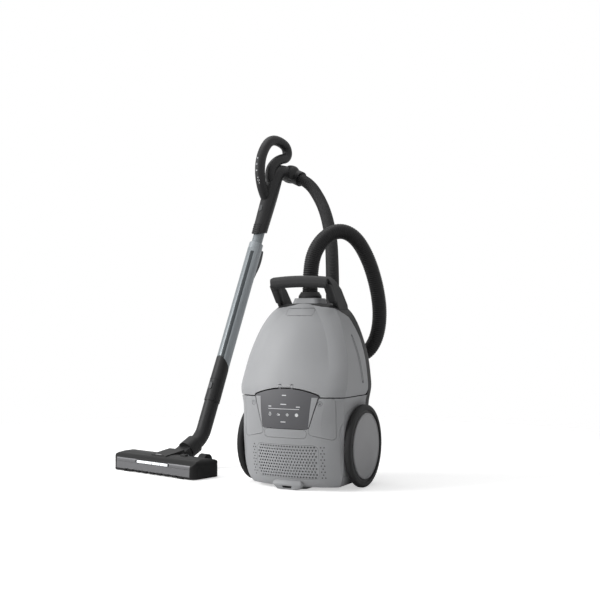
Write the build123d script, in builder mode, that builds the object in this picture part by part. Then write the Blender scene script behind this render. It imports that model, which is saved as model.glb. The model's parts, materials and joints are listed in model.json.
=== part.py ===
from build123d import *
import os
from math import atan2, cos, degrees, hypot, radians, sin, tan

# Canister vacuum cleaner parked upright on its rear end, with its hose, its wand and a powered floor nozzle.
# Millimetres. X is the canister's right, -Y its front, Z is up. The origin is on the sole of the parking foot.

# Canister housing
WALL = 3.0
BODY_BASE = 8.0
DOME_TOP = 432.0
PARTING_Y = 52.0
LID_SEAM_Z = 215.0
SEAM = 1.2
FINE_SEAM = 0.6
HIP_Y = 70.0
HIP_IN = 20.0
BELLY_Y = 101.0
BODY_TALL = 480.0
FACET_BULGE = 2.0
BODY_REACH = 200.0
# Each station: height, crease half width, crease depth, front depth, side half width, corner depth, belly depth.
STATIONS = [
    (BODY_BASE, 70, -80, -88, 112, -58, 88),
    (18, 75, -87, -96, 118.5, -62.5, 94),
    (40, 80.5, -94, -105, 125.5, -67.5, 99.5),
    (70, 84, -97.5, -110.5, 129.3, -70.5, 101.5),
    (100, 86, -99, -113, 131, -72, 102),
    (160, 88, -104, -119, 131, -74, 103),
    (200, 94, -102, -117, 132, -75, 103),
    (232, 99, -97, -111, 138, -74, 103),
    (255, 100, -90, -105, 137, -67, 103),
    (300, 92, -72, -90, 131, -52, 103),
    (350, 79, -57, -73, 117, -38, 102),
    (396, 55, -40, -51, 97, -21, 99),
    (424, 30, -20, -28, 73, -5, 92),
    (DOME_TOP, 22, -12, -16, 58, 4, 86),
]

# Rear edge of the lid, seen from the side: depth and height of its bends.
LID_REAR = [(PARTING_Y, 350.0), (36.0, 400.0), (-16.0, 424.0)]
LID_CORNER_RADIUS = 14.0

# Control panel, pedals and catch, seen from the front
PANEL_TOP_HALF = 83.0
PANEL_BOTTOM_HALF = 59.0
PANEL_TOP_Z = 218.0
PANEL_ARCH_Z = 234.0
PANEL_BOTTOM_Z = 143.0
PANEL_RADIUS = 9.0
PANEL_TIP_RADIUS = 4.0
PANEL_FRONT_Y = -114.0
HINGE_GAP = 3.0
PEDAL_OUTER_X = 117.0
PEDAL_OUTER_BOTTOM_Z = 118.0
PEDAL_INNER_BOTTOM_Z = 131.0
PEDAL_RADIUS = 8.0
PEDAL_TRAVEL = 5.0
PEDAL_STEM_X = 98.0
PEDAL_STEM_Z = 166.0
PEDAL_STEM_RADIUS = 4.0
PEDAL_STEM_START_Y = -95.0
PEDAL_STEM_END_Y = -66.0
CATCH_HALF = 54.0
CATCH_BOTTOM_Z = 122.0
CATCH_RADIUS = 9.0
LATCH_HALF = 36.0
LATCH_BOTTOM_Z = 403.0
LATCH_TOP_Z = 420.0
LATCH_RADIUS = 6.0
FRONT_CUT_Y = -20.0
FRONT_CUT_DEPTH = 120.0

# Exhaust grille
GRILLE_HALF = 80.0
GRILLE_BOTTOM_Z = 28.0
GRILLE_TOP_Z = 106.0
GRILLE_RADIUS = 14.0
GRILLE_HOLE_RADIUS = 1.9
GRILLE_COLUMNS = 20
GRILLE_ROWS = 9
GRILLE_PITCH_X = 7.2
GRILLE_PITCH_Z = 7.0

# Lid hinge
HINGE_Y = -106.4
HINGE_Z = 239.5
HINGE_KNUCKLE_RADIUS = 3.0
HINGE_KNUCKLE_HALF = 12.0
HINGE_EAR_WIDTH = 6.0
HINGE_FOOT_Z = 224.0
HINGE_SIDE_GAP = 0.4
HINGE_PIN_RADIUS = 1.2
PIN_CLEARANCE = 0.05

# Side panels, wheels and castor
SIDE_PANEL_X = 124.0
SIDE_PANEL_FRONT_Y = -80.0
SIDE_PANEL_TOP_Z = 186.0
SIDE_PANEL_RADIUS = 52.0
WHEEL_RADIUS = 97.0
WHEEL_AXLE_Y = 17.0
WHEEL_INNER_X = 133.0
WHEEL_WIDTH = 16.0
WHEEL_RIM = 8.0
WHEEL_WEB = 6.0
TYRE_SHOULDER = 6.0
TYRE_BORE_RADIUS = 84.0
WELL_X = 131.4
WELL_CLEARANCE = 3.0
HUB_CAP_RADIUS = 77.0
HUB_CAP_THICKNESS = 2.0
HUB_CAP_DOME = 2.5
AXLE_RADIUS = 6.0
AXLE_HEAD_RADIUS = 11.0
AXLE_HEAD_THICKNESS = 3.0
AXLE_INNER_X = 106.0
AXLE_BOSS_RADIUS = 13.0
CASTOR_Z = 372.0
CASTOR_CUP_RADIUS = 29.0
CASTOR_CUP_FLOOR_Y = 76.0
CASTOR_CUP_RIM_Y = 98.0
CASTOR_PLATE_RADIUS = 26.0
CASTOR_PLATE_THICKNESS = 4.0
CASTOR_SPIGOT_RADIUS = 6.0
CASTOR_WHEEL_RADIUS = 15.0
CASTOR_WHEEL_WIDTH = 13.0
CASTOR_TRAIL = 7.0
CASTOR_CHEEK = 3.0
CASTOR_PIN_RADIUS = 2.5
GROUND_REACH_Y = WHEEL_AXLE_Y + WHEEL_RADIUS
RUN_GAP = 0.5

# Parking foot and skids
FOOT_HALF = 34.0
FOOT_FRONT_Y = -72.0
FOOT_REAR_Y = 12.0
FOOT_SLOT_HALF = 10.0
FOOT_SLOT_END_Y = -30.0
FOOT_RADIUS = 8.0
SKID_X = 60.0
SKID_Y = 72.0
SKID_LENGTH = 22.0
SKID_WIDTH = 12.0

# Carry handle
HANDLE_BAR_Y = -36.0
HANDLE_BAR_Z = 484.0
HANDLE_BAR_DEPTH = 24.0
HANDLE_BAR_HEIGHT = 28.0
HANDLE_BAR_RISE = 4.0
HANDLE_ARM_INNER_X = 67.0
HANDLE_ARM_OUTER_X = 81.0
HANDLE_ARM_RADIUS = 7.0
HANDLE_EDGE_RADIUS = 5.0
HANDLE_CORNER = 24.0
HANDLE_ARM = [(-32, 474), (6, 422), (14, 408), (70, 408), (64, 430), (27, 468), (-24, 497), (-44, 494)]

# Inlet collar and hose cuff
INLET_Y = 19.0
COLLAR_BASE = (80.0, 64.0)
COLLAR_TOP = (66.0, 54.0)
COLLAR_RADIUS = 14.0
COLLAR_HEIGHT = 13.0
COLLAR_SKIRT = 6.0
INLET_BORE_RADIUS = 20.0
INLET_DUCT_RADIUS = 22.0
INLET_DUCT_END_Z = 387.0
CUFF_BASE_RADIUS = 28.0
CUFF_TOP_RADIUS = 22.0
CUFF_HEIGHT = 15.0
CUFF_SPIGOT_LENGTH = 24.0
CUFF_BORE_RADIUS = 15.0
FIT = 0.1

# Inside the canister
BULKHEAD_Z = 198.0
BULKHEAD_THICKNESS = 5.0
BULKHEAD_FRONT_Y = -78.0
MOTOR_X = -52.0
MOTOR_Y = 25.0
MOTOR_RADIUS = 49.0
MOTOR_LENGTH = 92.0
MOTOR_INTAKE_RADIUS = 24.0
FILTER_SIZE = (110.0, 90.0, 8.0)
BAG_TOP_Z = 378.0
BAG_GAP = 0.3
BAG_BELLY_Z = 300.0
BAG_FOOT = (150.0, 96.0)
BAG_BELLY = (184.0, 116.0)
BAG_NECK = (96.0, 66.0)
BAG_RADIUS = 30.0
BAG_HOLDER_THICKNESS = 6.0
BAG_HOLDER_HALF = 62.0
BAG_HOLDER_FRONT_Y = -22.0
HEPA_SIZE = (124.0, 26.0, 92.0)
HEPA_FRONT_Y = -74.0
BOARD_Y = -92.0
BOARD_THICKNESS = 2.0
BOARD_HALF = 48.0
BOARD_BOTTOM_Z = 150.0
BOARD_TOP_Z = 192.0
BOARD_POST_X = 38.0
BOARD_POST_Z = 171.0
POST_RADIUS = 3.5
BRACKET_Y = -80.0
BRACKET_THICKNESS = 6.0
BRACKET_HALF = 112.0
BRACKET_HEIGHT = 44.0
REEL_X = 55.0
REEL_Z = 92.0
REEL_RADIUS = 54.0
REEL_DRUM_RADIUS = 30.0
REEL_POST_RADIUS = 8.0
REEL_FRONT_Y = 56.0
REEL_WIDTH = 40.0
REEL_FLANGE = 3.0
GLAND_X = 0.0
GLAND_Y = 70.0
GLAND_RADIUS = 10.0
GLAND_BORE_RADIUS = 4.5
GLAND_FLANGE = 3.0

# Floor nozzle, in its own frame: x to its right, y to its rear, from the middle of its front bottom edge
NOZZLE_AT = (-410.25, -55.9, 0.0)
NOZZLE_YAW = -13.27
NOZZLE_WIDTH = 304.0
NOZZLE_DEPTH = 92.0
NOZZLE_CLEAR = 2.0
NOZZLE_FRONT_HEIGHT = 36.0
NOZZLE_TOP_HEIGHT = 49.0
NOZZLE_WALL = 2.5
NOZZLE_CORNER = 16.0
NOZZLE_SHOULDER = 15.0
BASE_THICKNESS = 4.0
NOTCH_COUNT = 8
NOTCH_PITCH = 27.0
NOTCH_WIDTH = 12.0
NOTCH_HEIGHT = 6.0
LED_HALF = 57.0
LED_HEIGHT = 6.0
LED_DEPTH = 3.0
LED_GAP = 0.2
BRUSH_Y = 27.0
BRUSH_Z = 22.0
BRUSH_CORE_RADIUS = 11.0
BRUSH_RADIUS = 18.5
BRUSH_HALF = 120.0
BRUSH_STRIP = 3.0
BRUSH_STRIPS = 4
STUB_RADIUS = 4.0
BEARING_RADIUS = 9.0
BEARING_WIDTH = 4.0
BELT_X = -131.0
BELT_WIDTH = 5.0
BELT_THICKNESS = 1.5
NOZZLE_MOTOR_Y = 62.0
NOZZLE_MOTOR_Z = 18.3
NOZZLE_MOTOR_X = -100.0
NOZZLE_MOTOR_RADIUS = 12.0
NOZZLE_MOTOR_LENGTH = 70.0
PULLEY_RADIUS = 7.0
REAR_WHEEL_X = 112.0
REAR_WHEEL_Y = 76.0
REAR_WHEEL_RADIUS = 11.0
REAR_WHEEL_WIDTH = 10.0
REAR_WHEEL_PIN_RADIUS = 2.5
REAR_ARM = 4.0
RUNNER_X = 100.0
RUNNER_Y = 5.5
RUNNER_LENGTH = 24.0
RUNNER_WIDTH = 4.0
PIVOT_Y = 100.0
PIVOT_Z = 40.0
PIVOT_RADIUS = 13.0
PIVOT_HALF = 22.0
PIVOT_PIN_RADIUS = 4.0
PIVOT_EAR = 6.0
PIVOT_GAP = 0.6
SHROUD_TOP_Z = 58.0
SHROUD_FRONT_Y = 22.0

# Wand, along its axis from the point where it would meet the floor
WAND_FOOT_Y = 143.9
WAND_LEAN = 22.1
NECK_RADIUS = 20.0
NECK_RISE = 27.0
NECK_BEND_RADIUS = 70.0
NECK_TOP = 186.0
FORK_RADIUS = 25.0
FORK_COLLAR_AT = 22.0
FORK_END = 56.0
SLEEVE_RADIUS = 21.5
SLEEVE_FRONT_TOP = 313.0
SLEEVE_REAR_TOP = 272.0
OUTER_TUBE_RADIUS = 18.0
OUTER_TUBE_WALL = 1.5
OUTER_TUBE_BOTTOM = 204.0
OUTER_TUBE_TOP = 640.0
COLLAR_RING_RADIUS = 20.0
COLLAR_RING_TOP = 657.0
COLLAR_RING_BOTTOM = 628.0
CATCH_BOTTOM = 560.0
CATCH_TOP = 646.0
CATCH_WIDTH = 16.0
CATCH_BASE = 3.0
CATCH_DEPTH = 6.0
CATCH_TRAVEL = 6.0
INNER_TUBE_RADIUS = 15.0
INNER_TUBE_WALL = 1.2
INNER_TUBE_BOTTOM = 330.0
GUIDE_LENGTH = 14.0
TWIST_SPIGOT = 22.0
TWIST_SPIGOT_RADIUS = 17.0
SLEEVE_TAPER = 0.4
TUBE_BUTTON_AT = 226.0
TUBE_BUTTON_LENGTH = 20.0
TUBE_BUTTON_WIDTH = 11.0
BUTTON_PROUD = 1.2
BUTTON_GAP = 0.4
BUTTON_AT = 19.6
POCKET_AT = 18.6

# Handle, partly along the wand and partly seen from its side in the nozzle's frame
HANDLE_BOTTOM_REAR = 702.0
HANDLE_SLEEVE = [(680.0, 20.5), (750.0, 22.0), (820.0, 23.0), (871.6, 22.0)]
DUCT_BEND_RADIUS = 28.0
DUCT_RADIUS = 22.0
DUCT_BORE_RADIUS = 14.0
DUCT_STRAIGHT = 8.0
INNER_TUBE_TOP = 780.0
LOCK_BUTTON_AT = 762.0
SWIVEL_BORE_RADIUS = 17.0
SWIVEL_DEPTH = 12.0
GRIP_RADIUS = 14.5
GRIP_START = [(434.0, 742.0), (410.0, 792.0), (408.0, 840.0)]
GRIP_BENDS = [
    (437.0, 900.0), (474.0, 916.0), (511.0, 908.0), (526.0, 886.0), (512.0, 868.0),
    (484.0, 858.0), (459.0, 838.0), (452.0, 806.0), (458.0, 770.0),
]
KEYS = {"upper_key": (411.5, 856.0), "middle_key": (408.0, 838.0), "lower_key": (407.0, 820.0)}
KEY_RADIUS = 4.5
KEY_DEPTH = 9.0
KEY_TRAVEL = 1.2

# Hose
HOSE_SOCKET_RADIUS = 19.0
HOSE_HANDLE_RADIUS = 16.5
HOSE_BORE_RADIUS = 12.5
HOSE_RIBS = 190
HOSE_STRETCHES = 10
HOSE_RIB_DEPTH = 1.6
HOSE_BEND_SHARE = 0.45
HOSE_SIDE = Vector(-0.449, 0.893, 0)
ELBOW_DROP = 24.0
ELBOW_RADIUS = 22.0
ELBOW_BEND_RADIUS = 26.0
ELBOW_LEAD = 8.0
ELBOW_TAIL = 20.0
HOSE_STRAIGHT = 36.0
HOSE_POINTS = [
    (-158, 410, 734), (-113, 356, 680), (-69, 290, 609), (-38, 229, 535), (-21, 194, 471), (-11, 173, 413),
    (-1, 162, 362), (18, 159, 317), (54, 163, 299), (91, 167, 312), (115, 168, 353), (124, 164, 413),
    (118, 154, 480), (102, 138, 547), (80, 112, 598), (52, 80, 615), (24, 47, 595), (5, 25, 553),
]

# Places worked out from the sizes above
EAST = Vector(cos(radians(NOZZLE_YAW)), sin(radians(NOZZLE_YAW)), 0)
NORTH = Vector(-EAST.Y, EAST.X, 0)
UP = Vector(0, 0, 1)
NOZZLE = Plane(origin=NOZZLE_AT, x_dir=EAST, z_dir=UP)
NOZZLE_SIDE = Plane(origin=NOZZLE_AT, x_dir=NORTH, z_dir=EAST)
WAND_AXIS = NORTH * sin(radians(WAND_LEAN)) + UP * cos(radians(WAND_LEAN))
WAND_FOOT = NOZZLE.from_local_coords((0, WAND_FOOT_Y, 0))
WAND = Plane(origin=WAND_FOOT, x_dir=EAST, z_dir=WAND_AXIS)
WAND_SIDE = Plane(origin=WAND_FOOT, x_dir=WAND.y_dir, z_dir=EAST)
FRONT_PLANE = Plane.XZ.offset(-FRONT_CUT_Y)
WHEEL_AXLE_Z = WHEEL_RADIUS
COLLAR_Z = DOME_TOP + COLLAR_HEIGHT
CUFF_TOP_Z = COLLAR_Z + RUN_GAP + CUFF_HEIGHT
INNER_STATIONS = [
    (max(BODY_BASE + WALL, min(DOME_TOP - WALL, station[0])), *station[1:]) for station in STATIONS
]
BASE = (Align.CENTER, Align.CENTER, Align.MIN)
SIDES = {"left": -1, "right": 1}


def body_outline(station, inset):
    """Draw one horizontal section of the canister, drawn in by inset."""
    crease_x, crease_y, front_y, side_x, corner_y, belly_y = station[1:]
    crease = (crease_x - inset / 2, crease_y + inset)
    corner = (side_x - inset, corner_y + inset / 2)
    facet = ((crease[0] + corner[0]) / 2 + FACET_BULGE, (crease[1] + corner[1]) / 2 - FACET_BULGE)
    hip = (side_x - inset, HIP_Y - inset / 2)
    heel = (side_x - HIP_IN - inset / 2, belly_y - inset)
    shoulder = ((hip[0] + heel[0]) / 2 + FACET_BULGE, (hip[1] + heel[1]) / 2 + FACET_BULGE)
    left = {point: (-point[0], point[1]) for point in (crease, corner, facet, hip, heel, shoulder)}
    with BuildLine() as outline:
        ThreePointArc(left[crease], (0, front_y + inset), crease)
        ThreePointArc(crease, facet, corner)
        Line(corner, hip)
        ThreePointArc(hip, shoulder, heel)
        Line(heel, left[heel])
        ThreePointArc(left[heel], left[shoulder], left[hip])
        Line(left[hip], left[corner])
        ThreePointArc(left[corner], left[facet], left[crease])
    make_face(outline.edges())


def side_region(points, rounded=()):
    """Draw a closed region of the side view, with the named corners rounded: (depth, height, radius)."""
    with BuildLine() as outline:
        Polyline(*points, close=True)
    make_face(outline.edges())
    for depth, height, radius in rounded:
        corner = min(vertices(), key=lambda vertex: hypot(vertex.X - depth, vertex.Y - height))
        fillet(corner, radius)


def front_outline(points, radius, grow):
    """Draw a rounded polygon of the front view, grown by a gap."""
    with BuildLine() as outline:
        Polyline(*points, close=True)
    make_face(outline.edges())
    fillet(vertices(), radius)
    if grow:
        offset(amount=grow, mode=Mode.REPLACE)


def panel_outline(grow):
    """Draw the control panel's arched outline, grown by a gap."""
    with BuildLine() as outline:
        Polyline(
            (-PANEL_TOP_HALF, PANEL_TOP_Z),
            (-PANEL_BOTTOM_HALF, PANEL_BOTTOM_Z),
            (PANEL_BOTTOM_HALF, PANEL_BOTTOM_Z),
            (PANEL_TOP_HALF, PANEL_TOP_Z),
        )
        ThreePointArc((PANEL_TOP_HALF, PANEL_TOP_Z), (0, PANEL_ARCH_Z), (-PANEL_TOP_HALF, PANEL_TOP_Z))
    make_face(outline.edges())
    fillet(vertices().group_by(Axis.Y)[0], PANEL_RADIUS)
    fillet(vertices().group_by(Axis.Y)[-1], PANEL_TIP_RADIUS)
    if grow:
        offset(amount=grow, mode=Mode.REPLACE)


def pedal_outline(sign, grow):
    """Draw one pedal beside the panel's slanted edge, grown by a gap."""
    slant = (PANEL_TOP_HALF - PANEL_BOTTOM_HALF) / (PANEL_TOP_Z - PANEL_BOTTOM_Z)
    top_z = LID_SEAM_Z - SEAM
    inner_top = PANEL_TOP_HALF + (top_z - PANEL_TOP_Z) * slant + SEAM
    inner_bottom = PANEL_BOTTOM_HALF + (PEDAL_INNER_BOTTOM_Z - PANEL_BOTTOM_Z) * slant + SEAM
    points = [
        (sign * inner_top, top_z),
        (sign * inner_bottom, PEDAL_INNER_BOTTOM_Z),
        (sign * PEDAL_OUTER_X, PEDAL_OUTER_BOTTOM_Z),
        (sign * PEDAL_OUTER_X, top_z),
    ]
    with BuildLine() as outline:
        Polyline(*points, close=True)
    make_face(outline.edges())
    tip = min(vertices(), key=lambda vertex: hypot(vertex.X - points[0][0], vertex.Y - points[0][1]))
    fillet([vertex for vertex in vertices() if vertex != tip], PEDAL_RADIUS)
    if grow:
        offset(amount=grow, mode=Mode.REPLACE)


def catch_outline(grow):
    """Draw the grille catch under the panel, grown by a gap."""
    top_z = PANEL_BOTTOM_Z - SEAM
    points = [
        (-CATCH_HALF, top_z), (-CATCH_HALF, CATCH_BOTTOM_Z), (CATCH_HALF, CATCH_BOTTOM_Z), (CATCH_HALF, top_z)
    ]
    front_outline(points, CATCH_RADIUS, grow)


def latch_outline(grow):
    """Draw the lid latch near the dome's top, grown by a gap."""
    points = [
        (-LATCH_HALF, LATCH_TOP_Z), (-LATCH_HALF, LATCH_BOTTOM_Z),
        (LATCH_HALF, LATCH_BOTTOM_Z), (LATCH_HALF, LATCH_TOP_Z),
    ]
    front_outline(points, LATCH_RADIUS, grow)


def grille_outline(grow):
    """Draw the exhaust grille's outline, grown by a gap."""
    points = [
        (-GRILLE_HALF, GRILLE_TOP_Z), (-GRILLE_HALF, GRILLE_BOTTOM_Z),
        (GRILLE_HALF, GRILLE_BOTTOM_Z), (GRILLE_HALF, GRILLE_TOP_Z),
    ]
    front_outline(points, GRILLE_RADIUS, grow)


def side_panel_outline(grow):
    """Draw a side panel's outline from the side, grown by a gap."""
    front, rear = SIDE_PANEL_FRONT_Y - grow, PARTING_Y - SEAM / 2 + grow
    low, high = BODY_BASE - grow, SIDE_PANEL_TOP_Z + grow
    points = [(front, low), (front, high), (rear, high), (rear, low)]
    side_region(points, [(front, high, SIDE_PANEL_RADIUS), (front, low, SIDE_PANEL_RADIUS / 2)])


def rear_edge(shift):
    """The lid's rear edge in the side view, moved back by a shift."""
    return [(depth + shift, height) for depth, height in LID_REAR]


def nozzle_profile(inset):
    """Draw the nozzle's side profile, drawn in by a wall."""
    top = NOZZLE_TOP_HEIGHT
    with BuildLine() as outline:
        Line((0, NOZZLE_CLEAR), (1, NOZZLE_FRONT_HEIGHT - 4))
        ThreePointArc((1, NOZZLE_FRONT_HEIGHT - 4), (8, top - 8), (22, top - 3))
        ThreePointArc((22, top - 3), (55, top), (NOZZLE_DEPTH - 12, top - 5))
        ThreePointArc((NOZZLE_DEPTH - 12, top - 5), (NOZZLE_DEPTH - 3, top - 14), (NOZZLE_DEPTH, top - 28))
        Line((NOZZLE_DEPTH, top - 28), (NOZZLE_DEPTH, NOZZLE_CLEAR))
        Line((NOZZLE_DEPTH, NOZZLE_CLEAR), (0, NOZZLE_CLEAR))
    make_face(outline.edges())
    if inset:
        offset(amount=-inset, mode=Mode.REPLACE)


def along(plane, x, y, z):
    """A plane moved to a point given in its own axes."""
    return Plane(origin=plane.from_local_coords((x, y, z)), x_dir=plane.x_dir, z_dir=plane.z_dir)


def hose_radii(points):
    """The bend radius at each inner point of the hose's route, as large as its two runs allow."""
    radii = []
    for before, here, after in zip(points, points[1:], points[2:]):
        turn = (here - before).get_angle(after - here)
        shorter = min((here - before).length, (after - here).length)
        radii.append(HOSE_BEND_SHARE * shorter / tan(radians(turn) / 2))
    return radii


os.makedirs("parts", exist_ok=True)
pieces = {}

# Canister: the outer form, the hollow and the skin between them
with BuildPart() as outer_form:
    for station in STATIONS:
        with BuildSketch(Plane.XY.offset(station[0])):
            body_outline(station, 0)
    loft()
    for sign in SIDES.values():
        with BuildSketch(Plane.YZ.offset(sign * WELL_X)):
            with Locations((WHEEL_AXLE_Y, WHEEL_AXLE_Z)):
                Circle(WHEEL_RADIUS + WELL_CLEARANCE)
        extrude(amount=sign * WHEEL_WIDTH, mode=Mode.SUBTRACT)

with BuildPart() as inner_form:
    for station in INNER_STATIONS:
        with BuildSketch(Plane.XY.offset(station[0])):
            body_outline(station, WALL)
    loft()

with BuildPart() as skin:
    add(outer_form.part)
    add(inner_form.part, mode=Mode.SUBTRACT)

# Chassis: the belly, with the reel's post, the castor's cup, the skids and the inlet's hole
with BuildPart() as chassis:
    add(skin.part)
    with BuildSketch(Plane.YZ):
        edge = rear_edge(SEAM / 2)
        side_region([(edge[0][0], 0), *edge, (edge[-1][0], BODY_TALL), (BODY_REACH, BODY_TALL), (BODY_REACH, 0)])
    extrude(amount=BODY_REACH, both=True, mode=Mode.INTERSECT)
    with BuildSketch(Plane.XZ.offset(WALL - REEL_FRONT_Y)):
        with Locations((REEL_X, REEL_Z)):
            Circle(REEL_POST_RADIUS)
    extrude(amount=REEL_FRONT_Y - WALL - BELLY_Y + WALL / 2)
    with BuildSketch(Plane.XZ.offset(WALL - CASTOR_CUP_FLOOR_Y)):
        with Locations((0, CASTOR_Z)):
            Circle(CASTOR_CUP_RADIUS + WALL)
    extrude(amount=CASTOR_CUP_FLOOR_Y - WALL - CASTOR_CUP_RIM_Y)
    with BuildSketch(Plane.XZ.offset(-CASTOR_CUP_FLOOR_Y)):
        with Locations((0, CASTOR_Z)):
            Circle(CASTOR_CUP_RADIUS)
    extrude(amount=CASTOR_CUP_FLOOR_Y - GROUND_REACH_Y, mode=Mode.SUBTRACT)
    with BuildSketch(Plane.XZ.offset(WALL - CASTOR_CUP_FLOOR_Y)):
        with Locations((0, CASTOR_Z)):
            Circle(CASTOR_SPIGOT_RADIUS + PIN_CLEARANCE)
    extrude(amount=-WALL, mode=Mode.SUBTRACT)
    with BuildSketch():
        with Locations((-SKID_X, SKID_Y), (SKID_X, SKID_Y)):
            RectangleRounded(SKID_WIDTH, SKID_LENGTH, SKID_WIDTH / 3)
    extrude(amount=BODY_BASE + WALL / 2)
    with Locations((GLAND_X, GLAND_Y, BODY_BASE)):
        Cylinder(GLAND_RADIUS, 4 * WALL, mode=Mode.SUBTRACT)
    with Locations((0, INLET_Y, DOME_TOP)):
        Cylinder(INLET_DUCT_RADIUS + RUN_GAP, 8 * WALL, mode=Mode.SUBTRACT)
pieces["chassis"] = chassis

# Carry handle: two leaning arms and a bar across the front of the hose
with BuildPart() as carry_handle:
    for sign in SIDES.values():
        with BuildSketch(Plane.YZ.offset(sign * HANDLE_ARM_INNER_X)):
            with BuildLine():
                Polyline(*HANDLE_ARM, close=True)
            make_face()
            fillet(vertices(), HANDLE_ARM_RADIUS)
        extrude(amount=sign * (HANDLE_ARM_OUTER_X - HANDLE_ARM_INNER_X))
    fillet(faces().filter_by(Axis.X).edges(), HANDLE_EDGE_RADIUS)
    bar_end = (HANDLE_ARM_OUTER_X + HANDLE_ARM_INNER_X) / 2
    with BuildLine():
        bar = ThreePointArc(
            (-bar_end, HANDLE_BAR_Y, HANDLE_BAR_Z - HANDLE_BAR_RISE),
            (0, HANDLE_BAR_Y, HANDLE_BAR_Z),
            (bar_end, HANDLE_BAR_Y, HANDLE_BAR_Z - HANDLE_BAR_RISE),
        )
    with BuildSketch(Plane(origin=bar @ 0, x_dir=(0, 1, 0), z_dir=bar % 0)):
        RectangleRounded(HANDLE_BAR_DEPTH, HANDLE_BAR_HEIGHT, HANDLE_BAR_DEPTH / 2.2)
    sweep()
    with BuildSketch(Plane.XZ.offset(-BODY_REACH)):
        RectangleRounded(2 * HANDLE_ARM_OUTER_X, 2 * (HANDLE_BAR_Z + HANDLE_BAR_HEIGHT / 2), HANDLE_CORNER)
    extrude(amount=2 * BODY_REACH, mode=Mode.INTERSECT)
    add(outer_form.part, mode=Mode.SUBTRACT)
pieces["carry_handle"] = carry_handle

# Lower front shell, with openings for what sits in it
with BuildPart() as body_shell:
    add(skin.part)
    with BuildSketch(Plane.YZ):
        rear = PARTING_Y - SEAM / 2
        top = LID_SEAM_Z - SEAM
        side_region([(-BODY_REACH, 0), (-BODY_REACH, top), (rear, top), (rear, 0)])
    extrude(amount=BODY_REACH, both=True, mode=Mode.INTERSECT)
    with BuildSketch(FRONT_PLANE):
        panel_outline(FINE_SEAM)
    extrude(amount=FRONT_CUT_DEPTH, mode=Mode.SUBTRACT)
    with BuildSketch(FRONT_PLANE):
        catch_outline(FINE_SEAM)
    extrude(amount=FRONT_CUT_DEPTH, mode=Mode.SUBTRACT)
    with BuildSketch(FRONT_PLANE):
        grille_outline(FINE_SEAM / 2)
    extrude(amount=FRONT_CUT_DEPTH, mode=Mode.SUBTRACT)
    for sign in SIDES.values():
        with BuildSketch(FRONT_PLANE):
            pedal_outline(sign, FINE_SEAM)
        extrude(amount=FRONT_CUT_DEPTH, mode=Mode.SUBTRACT)
        with BuildSketch(Plane.YZ.offset(sign * (SIDE_PANEL_X - FINE_SEAM / 2))):
            side_panel_outline(FINE_SEAM)
        extrude(amount=sign * SIDE_PANEL_X, mode=Mode.SUBTRACT)
pieces["body_shell"] = body_shell

# Side panels behind the wheels, each with its axle boss
for side, sign in SIDES.items():
    with BuildPart() as side_panel:
        add(skin.part)
        with BuildSketch(Plane.YZ.offset(sign * SIDE_PANEL_X)):
            side_panel_outline(0)
        extrude(amount=sign * SIDE_PANEL_X, mode=Mode.INTERSECT)
        with BuildSketch(Plane.YZ.offset(sign * AXLE_INNER_X)):
            with Locations((WHEEL_AXLE_Y, WHEEL_AXLE_Z)):
                Circle(AXLE_BOSS_RADIUS)
        extrude(amount=sign * (WELL_X - WALL / 2 - AXLE_INNER_X))
        with BuildSketch(Plane.YZ.offset(sign * AXLE_INNER_X)):
            with Locations((WHEEL_AXLE_Y, WHEEL_AXLE_Z)):
                Circle(AXLE_RADIUS)
        extrude(amount=sign * SIDE_PANEL_X, mode=Mode.SUBTRACT)
    pieces[f"side_panel_{side}"] = side_panel

# Control panel, with posts for its board and two ears for the lid's hinge
with BuildPart() as control_panel:
    add(skin.part)
    with BuildSketch(FRONT_PLANE):
        panel_outline(0)
    extrude(amount=FRONT_CUT_DEPTH, mode=Mode.INTERSECT)
    with BuildSketch(Plane.XZ.offset(-BOARD_Y)):
        with Locations((-BOARD_POST_X, BOARD_POST_Z), (BOARD_POST_X, BOARD_POST_Z)):
            Circle(POST_RADIUS)
    extrude(amount=BOARD_Y - PANEL_FRONT_Y)
    for sign in SIDES.values():
        with BuildSketch(Plane.YZ.offset(sign * (HINGE_KNUCKLE_HALF + HINGE_SIDE_GAP))):
            with BuildLine():
                Polyline(
                    (HINGE_Y - HINGE_KNUCKLE_RADIUS, HINGE_Z),
                    (HINGE_Y - HINGE_KNUCKLE_RADIUS, HINGE_FOOT_Z),
                    (HINGE_Y + HINGE_KNUCKLE_RADIUS, HINGE_FOOT_Z),
                    (HINGE_Y + HINGE_KNUCKLE_RADIUS, HINGE_Z),
                    close=True,
                )
            make_face()
            with Locations((HINGE_Y, HINGE_Z)):
                Circle(HINGE_KNUCKLE_RADIUS)
                Circle(HINGE_PIN_RADIUS, mode=Mode.SUBTRACT)
        extrude(amount=sign * HINGE_EAR_WIDTH)
pieces["control_panel"] = control_panel

with BuildPart() as lid_hinge_pin:
    with BuildSketch(Plane.YZ):
        with Locations((HINGE_Y, HINGE_Z)):
            Circle(HINGE_PIN_RADIUS)
    extrude(amount=HINGE_KNUCKLE_HALF + HINGE_SIDE_GAP + HINGE_EAR_WIDTH, both=True)
pieces["lid_hinge_pin"] = lid_hinge_pin

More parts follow.
